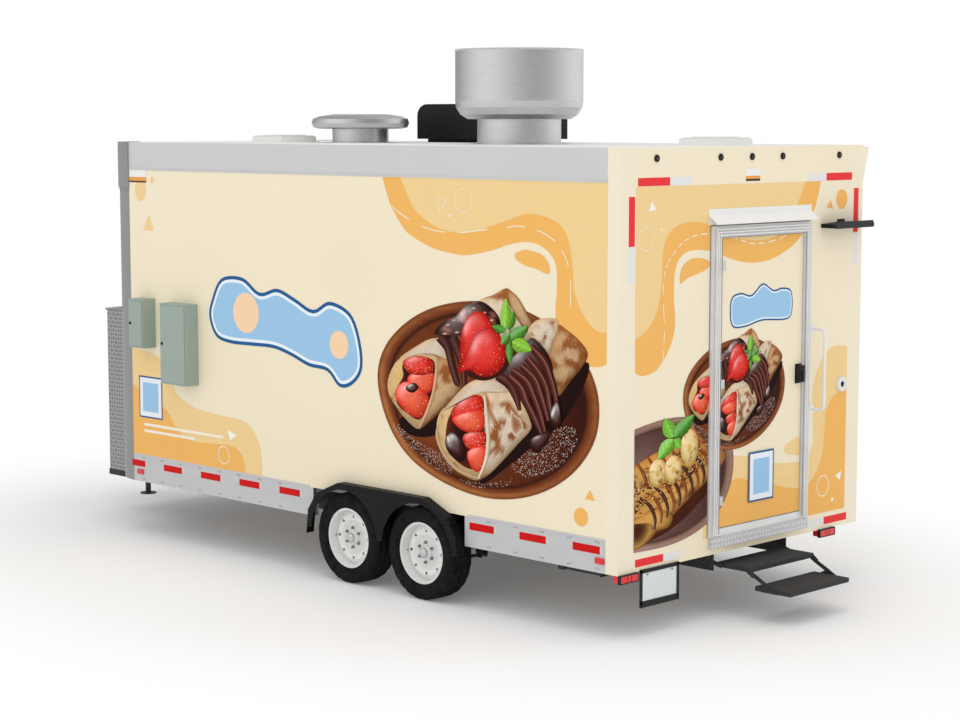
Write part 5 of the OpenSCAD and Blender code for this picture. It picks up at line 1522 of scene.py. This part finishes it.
class TRAILER_OT_rear_trim(Step):
    """Marker lights, tapes, lamp housings, door ribs and gaskets, latch, plate frame and small fittings"""
    bl_idname = "trailer.rear_trim"
    bl_label = "Rear trim"

    def make(self):
        s = sizes()
        black, rubber = moulded_plastic(*BLACK_ABS), moulded_plastic("gasket", "#8F9091", 0.75)
        marks = [lathe((REAR_X, y, MARKER_Z), (-1, 0, 0), [(s.marker, 0), (s.marker, 0.008),
                                                           (s.marker * .8, 0.012), (s.marker * .74, 0.006),
                                                           (0.0001, 0.011)], 28) for y in MARKER_Y]
        fit("marker_rings", marks, black, "black_plastic", True)
        lenses = [lathe((REAR_X - 0.005, y, MARKER_Z), (-1, 0, 0), [(s.marker * .7, 0),
                (s.marker * .55, 0.006), (0.0001, 0.009)], 24) for y in MARKER_Y]
        fit("marker_lenses", lenses, lamp_lens("dark_red", "#26090A"), "red_lens", True)

        def tape(y0, y1, z0, z1):
            return soft_brick((REAR_X - 0.0012, min(y0, y1), min(z0, z1)),
                              (REAR_X, max(y0, y1), max(z0, z1)), 0.0003)

        reds = [tape(1.131, .821, 2.87, 2.922), tape(-.86, -1.162, 2.868, 2.92),
                tape(1.158, 1.215, 2.807, 2.498), tape(-1.189, -1.245, 2.81, 2.502),
                tape(1.129, .853, .462, .512), tape(-.9, -1.172, .463, .515)]
        whites = [tape(.819, .602, 2.87, 2.922), tape(-.645, -.858, 2.868, 2.92),
                  tape(1.158, 1.215, 2.496, 2.268), tape(-1.189, -1.245, 2.5, 2.278),
                  tape(.851, .691, .462, .512), tape(-.705, -.898, .463, .515)]
        fit("rear_tape_red", reds, reflective_tape("red", tuple(colours().red)), "red_lens")
        fit("rear_tape_white", whites, reflective_tape("white", (0.86, 0.86, 0.86)), "white_plastic")
        for name, z0, z1, ink in (("white", 2.916, 2.96, (.86, .85, .83)),
                                  ("orange", 2.896, 2.9158, (.85, .36, .08)),
                                  ("black", 2.882, 2.8958, (.03, .03, .03))):
            band = soft_brick((REAR_X - 0.001, -.111, z0), (REAR_X, .042, z1), 0.0002)
            put("header_sticker_" + name, *band, printed_film(name, ink, ink), "trailer", "plate_enamel")

        low, high = ends("tail_lights")
        frames, beads = [], []
        for y in (1.2055, -0.92):
            x0 = low.x - 0.0015
            frames.append(joined([
                soft_brick((x0, y - .087, low.z - .003), (REAR_X, y + .087, low.z + .004), 0.001),
                soft_brick((x0, y - .087, high.z - .004), (REAR_X, y + .087, high.z + .003), 0.001),
                soft_brick((x0, y - .09, low.z - .003), (REAR_X, y - .083, high.z + .003), 0.001),
                soft_brick((x0, y + .083, low.z - .003), (REAR_X, y + .09, high.z + .003), 0.001)]))
            beads.append(soft_brick((x0, y - .02, low.z + .006), (REAR_X, y - .016, high.z - .006), 0.0008))
            beads.append(soft_brick((x0, y + .016, low.z + .006), (REAR_X, y + .02, high.z - .006), 0.0008))
        fit("lamp_housings", frames, black, "black_plastic")
        fit("lamp_dividers", beads, black, "black_plastic")

        plate_low, plate_high = ends("licence_plate")
        x0 = plate_low.x - 0.004
        rim = bars(.002, (x0, plate_low.y - .012, plate_low.z - .012, plate_low.x + .004,
                          plate_high.y + .012, plate_low.z + .012), (x0, plate_low.y - .012,
                plate_high.z - .012, plate_low.x + .004, plate_high.y + .012, plate_high.z + .012),
                   (x0, plate_low.y - .012, plate_low.z - .012, plate_low.x + .004, plate_low.y + .012,
                    plate_high.z + .012), (x0, plate_high.y - .012, plate_low.z - .012, plate_low.x + .004,
                                           plate_high.y + .012, plate_high.z + .012),
                   (x0, plate_low.y - .012, plate_low.z - .03, plate_low.x + .004, plate_high.y + .012,
                    plate_low.z - .008))
        fit("plate_frame", rim, black, "black_plastic")
        screws = [bolt((x0 - .0002, y, plate_high.z - .025), (-1, 0, 0), .005, .003)
                  for y in (plate_low.y + .06, plate_high.y - .06)]
        fit("plate_screws", screws, zinc_plate(), "zinc_plated_steel")

        # ribs pressed into the door frame: three on each side and across the head
        face, ribs = FRAME_LOW.x, []
        wide = 0.079
        for k in range(3):
            off = wide * (0.26 + 0.24 * k)
            for y in (FRAME_LOW.y + off, FRAME_HIGH.y - off):
                ribs.append(soft_brick((face - s.rib, y - .005, FRAME_LOW.z + .012),
                                       (face, y + .005, FRAME_HIGH.z - off - .004), .002))
            z = FRAME_HIGH.z - off
            ribs.append(soft_brick((face - s.rib, FRAME_LOW.y + off - .005, z - .005),
                                   (face, FRAME_HIGH.y - off + .005, z + .005), .002))
        fit("door_frame_ribs", ribs, mill_aluminium(*SHEET), "mill_aluminium")
        inner = (FRAME_LOW.y + wide, FRAME_HIGH.y - wide, FRAME_HIGH.z - wide)
        seal = bars(
            .001,
            (face - .003, inner[0] - .007, FRAME_LOW.z + .02, face, inner[0] - .001, inner[2] + .006),
            (face - .003, inner[1] + .001, FRAME_LOW.z + .02, face, inner[1] + .007, inner[2] + .006),
            (face - .003, inner[0] - .007, inner[2] + .001, face, inner[1] + .007, inner[2] + .007))
        fit("door_gasket", seal, rubber, "black_plastic")
        out = bars(.001, (REAR_X - .004, FRAME_LOW.y - .007, FRAME_LOW.z, REAR_X, FRAME_LOW.y,
                          FRAME_HIGH.z + .006), (REAR_X - .004, FRAME_HIGH.y, FRAME_LOW.z, REAR_X,
                                                 FRAME_HIGH.y + .007, FRAME_HIGH.z + .006),
                   (REAR_X - .004, FRAME_LOW.y - .007, FRAME_HIGH.z, REAR_X, FRAME_HIGH.y + .007,
                    FRAME_HIGH.z + .006))
        fit("frame_sealant", out, rubber, "black_plastic")

        # latch: a black escutcheon over the handle block, with a lock barrel and a pull
        y, z, x = -0.55, 1.561, -0.052 + REAR_X
        latch = joined([soft_brick((DOOR_FACE - .004, y - .034, z - .067), (DOOR_FACE, y + .034, z + .067),
                                   .0015), soft_brick((x - .003, y - .028, z - .058),
                                                      (DOOR_FACE - .004, y + .028, z + .058), .007),
                        soft_brick((x - .012, y - .012, z - .046), (x - .003, y + .012, z + .02), .004),
                        lathe((x - .003, y, z + .04), (-1, 0, 0), [(.011, 0), (.011, .003), (.007, .004),
                (.0001, .0042)], 20)])
        put("door_latch", *latch, black, "door", "black_plastic")

        inlet = ends("water_inlet")
        centre = (inlet[0] + inlet[1]) / 2
        ring = lathe((inlet[0].x, centre.y, centre.z), (-1, 0, 0), [(.052, -.001), (.052, .002), (.04, .006),
                (.026, .007), (.026, -.001)], 40)
        plug = lathe((inlet[0].x + .014, centre.y, centre.z), (-1, 0, 0), [(.0185, 0), (.0185, .002),
                (.012, .007), (.0001, .008)], 32)
        put("inlet_valve", *plug, moulded_plastic(*WHITE_ABS), "trailer", "white_plastic", True)
        put("inlet_ring", *ring, moulded_plastic(*WHITE_ABS), "trailer", "white_plastic", True)

        lamp = ends("rear_floodlight")
        lens = soft_brick((lamp[0].x - .002, lamp[0].y + .012, lamp[0].z + .01),
                          (lamp[0].x + .003, lamp[1].y - .012, lamp[1].z - .01), .001)
        put("floodlight_lens", *lens, moulded_plastic("lens", "#202124", 0.4), "trailer", "black_plastic")


class TRAILER_OT_roof_trim(Step):
    """Vent lids and the air conditioner's louvres"""
    bl_idname = "trailer.roof_trim"
    bl_label = "Roof trim"

    def make(self):
        low, high = ends("air_conditioner")
        slats = []
        for k in range(7):
            z = low.z + 0.06 + 0.03 * k
            slats.append(soft_brick((low.x + .1, low.y - .004, z), (high.x - .1, low.y + .001, z + .014),
                                    .002))
            slats.append(soft_brick((high.x - .001, low.y + .12, z), (high.x + .004, high.y - .12, z + .014),
                                    .002))
        fit("cooler_louvres", slats, moulded_plastic("dark", "#202124", 0.6), "black_plastic")
        low, high = ends("roof_vents")
        lids = []
        for x, y in ((1.3645, .25), (-2.4655, -.42)):
            lids.append(soft_brick((x - .17, y - .17, high.z), (x + .17, y + .17, high.z + .008), .004))
            lids.append(soft_brick((x - .12, y - .12, high.z + .008), (x + .12, y + .12, high.z + .014),
                                   .004))
        fit("vent_lids", lids, moulded_plastic(*WHITE_ABS), "white_plastic")


class TRAILER_OT_serving_trim(Step):
    """The service window's frame and glass, and the serving hatch's latches and edges"""
    bl_idname = "trailer.serving_trim"
    bl_label = "Serving trim"

    def make(self):
        low, high = ends("service_window")
        bar, deep = 0.045, (low.y, high.y)
        span = (high.x - low.x - bar) / 4
        posts = [soft_brick((low.x + k * span, deep[0], low.z), (low.x + k * span + bar, deep[1], high.z),
                            .003) for k in range(5)]
        rails = [soft_brick((low.x, deep[0] + .001, z), (high.x, deep[1] - .001, z + bar), .003)
                 for z in (low.z, high.z - bar)]
        made = fit("window_frame", posts + rails, mill_aluminium(*SHEET), "mill_aluminium")
        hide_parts("service_window")
        middle = (deep[0] + deep[1]) / 2
        panes = [soft_brick((low.x + k * span + bar - .006, middle - .003, low.z + bar - .006),
                            (low.x + (k + 1) * span + .006, middle + .003, high.z - bar + .006), .001)
                 for k in (0, 3)]
        put("window_panes", *joined(panes), window_glass(), "trailer")
        low, high = HATCH_LOW, HATCH_HIGH
        grips = []
        for x in (low.x + .25, high.x - .25):
            grips.append(soft_brick((x - .06, HATCH_Y - .012, low.z + .05), (x + .06, HATCH_Y, low.z + .075),
                                    .004))
        put("hatch_latches", *joined(grips), moulded_plastic(*BLACK_ABS), "hatch", "black_plastic")
        edge = bars(
            .0006,
            (low.x, HATCH_Y - .002, low.z, low.x + .02, HATCH_Y, high.z),
            (high.x - .02, HATCH_Y - .002, low.z, high.x, HATCH_Y, high.z),
            (low.x + .02, HATCH_Y - .002, low.z, high.x - .02, HATCH_Y, low.z + .02),
            (low.x + .02, HATCH_Y - .002, high.z - .02, high.x - .02, HATCH_Y, high.z))
        put("hatch_edges", *joined(edge), mill_aluminium(*EDGE), "hatch", "mill_aluminium")


class TRAILER_OT_front_trim(Step):
    """Latches and base band of the front box, doors of the electrical boxes, corner caps"""
    bl_idname = "trailer.front_trim"
    bl_label = "Front trim"

    def make(self):
        high = corner("front_box", True)
        latches = []
        for y in (-.45, .45):
            latches.append(soft_brick((high.x - .002, y - .04, high.z - .19),
                                      (high.x + .01, y + .04, high.z - .09), .003))
            latches.append(soft_brick((high.x + .01, y - .018, high.z - .16),
                                      (high.x + .018, y + .018, high.z - .12), .003))
        fit("box_latches", latches, zinc_plate(), "zinc_plated_steel")
        low = corner("front_box")
        band = bars(
            .0015,
            (low.x + .004, low.y - .006, low.z - .002, high.x + .006, low.y, low.z + .045),
            (low.x + .004, high.y, low.z - .002, high.x + .006, high.y + .006, low.z + .045),
            (high.x, low.y, low.z - .002, high.x + .006, high.y, low.z + .045))
        fit("box_base_band", band, black_steel("band", "#0D0D0E", "#1A1A1B"), "painted_steel_frame")
        sage = enamel("sage_door", tuple(colours().sage), 0.42)
        doors, knobs = [], []
        for x0, x1, y, z0, z1 in ELECTRICAL:
            doors.append(soft_brick((x0 + .012, y, z0 + .014), (x1 - .012, y + .006, z1 - .014), .003))
            knobs.append(lathe((x1 - .03, y + .006, (z0 + z1) / 2), (0, 1, 0),
                               [(.011, 0), (.011, .006), (.007, .01), (.0001, .011)], 20))
        fit("electrical_box_doors", doors, sage, "sage_painted_steel")
        caps = []
        for side in (1, -1):
            for z0, z1, grow in ((2.755, ROOF_Z + 0.004, 0.012), (2.735, 2.755, 0.004)):
                centre = Vector((POST_X, side * NOSE_HALF, 0))
                reach = STREET_Y - NOSE_HALF + grow
                verts, faces, steps = [], [], 14
                for k in range(steps + 1):
                    a = math.pi / 2 * k / steps
                    for radius in (reach, reach - grow - 0.003):
                        for z in (z0, z1):
                            verts.append(centre + Vector((radius * math.sin(a), side * radius * math.cos(a),
                                                          z)))
                for k in range(steps):
                    i, j = 4 * k, 4 * k + 4
                    faces += [(i, i + 1, j + 1, j), (i + 2, j + 2, j + 3, i + 3),
                              (i + 1, i + 3, j + 3, j + 1), (i, j, j + 2, i + 2)]
                faces += [(0, 2, 3, 1), (4 * steps, 4 * steps + 1, 4 * steps + 3, 4 * steps + 2)]
                caps.append((verts, faces if side > 0 else [f[::-1] for f in faces]))
        # corner caps in the same grey, darkened with painted shade
        fit("corner_caps", caps, enamel(*GREY_IN_PAINTED_SHADE), "grey_painted_aluminium")
        fit("electrical_box_locks", knobs, moulded_plastic(*BLACK_ABS), "black_plastic", True)


class TRAILER_OT_stage(Step):
    """Floor, lights, world and camera"""
    bl_idname = "trailer.stage"
    bl_label = "Stage"

    def make(self):
        scene = bpy.context.scene
        mesh = bpy.data.meshes.new("floor_paper")
        mesh.from_pydata([(-60, -60, 0), (60, -60, 0), (60, 60, 0), (-60, 60, 0)], [], [(0, 1, 2, 3)])
        mesh.materials.append(studio_floor())
        floor = bpy.data.objects.new("floor_paper", mesh)
        scene.collection.objects.link(floor)
        world = bpy.data.worlds.new("white_studio")
        world.use_nodes = True
        tree = world.node_tree
        tree.nodes["Background"].inputs["Color"].default_value = (1, 1, 1, 1)
        # what shiny metal mirrors: two soft white walls with two darker gaps between them
        paths = add(tree, "ShaderNodeLightPath").outputs
        way = add(tree, "ShaderNodeSeparateXYZ",
                  {0: add(tree, "ShaderNodeTexCoord").outputs["Generated"]}).outputs
        angle = maths(tree, "ARCTAN2", way["Y"], way["X"])
        swing = maths(tree, "COSINE", maths(tree, "MULTIPLY", maths(tree, "SUBTRACT", angle,
                math.radians(162)), 2.0))
        mirrored = maths(tree, "SUBTRACT", 0.74, maths(tree, "MULTIPLY", swing, 0.37))
        plain = add(tree, "ShaderNodeMix", {0: paths["Is Glossy Ray"], 2: 0.9, 3: mirrored}).outputs[0]
        tree.links.new(add(tree, "ShaderNodeMix", {0: paths["Is Camera Ray"], 2: plain, 3: 1.0}).outputs[0],
                       tree.nodes["Background"].inputs["Strength"])
        scene.world = world
        for name, spot, aim, size, power in (("key", (-4, 3, 12), (-0.5, 0, 1.2), 7, 200),
                                             ("side", (-9, 16, 5), (-1, 1, 1.5), 5, 60)):
            data = bpy.data.lights.new(name, "AREA")
            data.size, data.energy = size, power
            lamp = bpy.data.objects.new(name, data)
            lamp.location = spot
            lamp.rotation_euler = (Vector(aim) - Vector(spot)).to_track_quat("-Z", "Y").to_euler()
            lamp.visible_glossy = False
            scene.collection.objects.link(lamp)
        data = bpy.data.cameras.new("camera")
        data.lens, data.sensor_width = 78.6, 36
        camera = bpy.data.objects.new("camera", data)
        yaw, pitch = math.radians(-45.259), math.radians(6.474)
        forward = Vector((math.cos(yaw) * math.cos(pitch), math.sin(yaw) * math.cos(pitch), -math.sin(pitch)))
        camera.location = (-11.569, 11.084, 3.267)
        camera.rotation_euler = forward.to_track_quat("-Z", "Y").to_euler()
        scene.collection.objects.link(camera)
        scene.camera = camera
        scene.view_settings.view_transform = "Standard"


# ---------------------------------------------------------------- panel

STEPS = (TRAILER_OT_finishes, TRAILER_OT_street_film, TRAILER_OT_rear_film, TRAILER_OT_curb_film,
         TRAILER_OT_wheels, TRAILER_OT_skirt_trim, TRAILER_OT_rear_trim, TRAILER_OT_roof_trim,
         TRAILER_OT_serving_trim, TRAILER_OT_front_trim, TRAILER_OT_stage)


class TRAILER_PT_panel(bpy.types.Panel):
    """Settings and steps"""
    bl_label = "Food trailer"
    bl_idname = "TRAILER_PT_panel"
    bl_space_type = "VIEW_3D"
    bl_region_type = "UI"
    bl_category = "Food trailer"

    def draw(self, context):
        for group in (context.scene.trailer_colours, context.scene.trailer_sizes):
            box = self.layout.box()
            for name in group.__annotations__:
                box.prop(group, name)
        for step in STEPS:
            self.layout.operator(step.bl_idname)


CLASSES = (TrailerColours, TrailerSizes, *STEPS, TRAILER_PT_panel)


def register():
    for item in CLASSES:
        bpy.utils.register_class(item)
    bpy.types.Scene.trailer_colours = bpy.props.PointerProperty(type=TrailerColours)
    bpy.types.Scene.trailer_sizes = bpy.props.PointerProperty(type=TrailerSizes)


def unregister():
    del bpy.types.Scene.trailer_sizes
    del bpy.types.Scene.trailer_colours
    for item in reversed(CLASSES):
        bpy.utils.unregister_class(item)


def main():
    """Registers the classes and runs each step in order."""
    register()
    for step in STEPS:
        group, name = step.bl_idname.split(".")
        getattr(getattr(bpy.ops, group), name)()


if __name__ == "__main__":
    main()
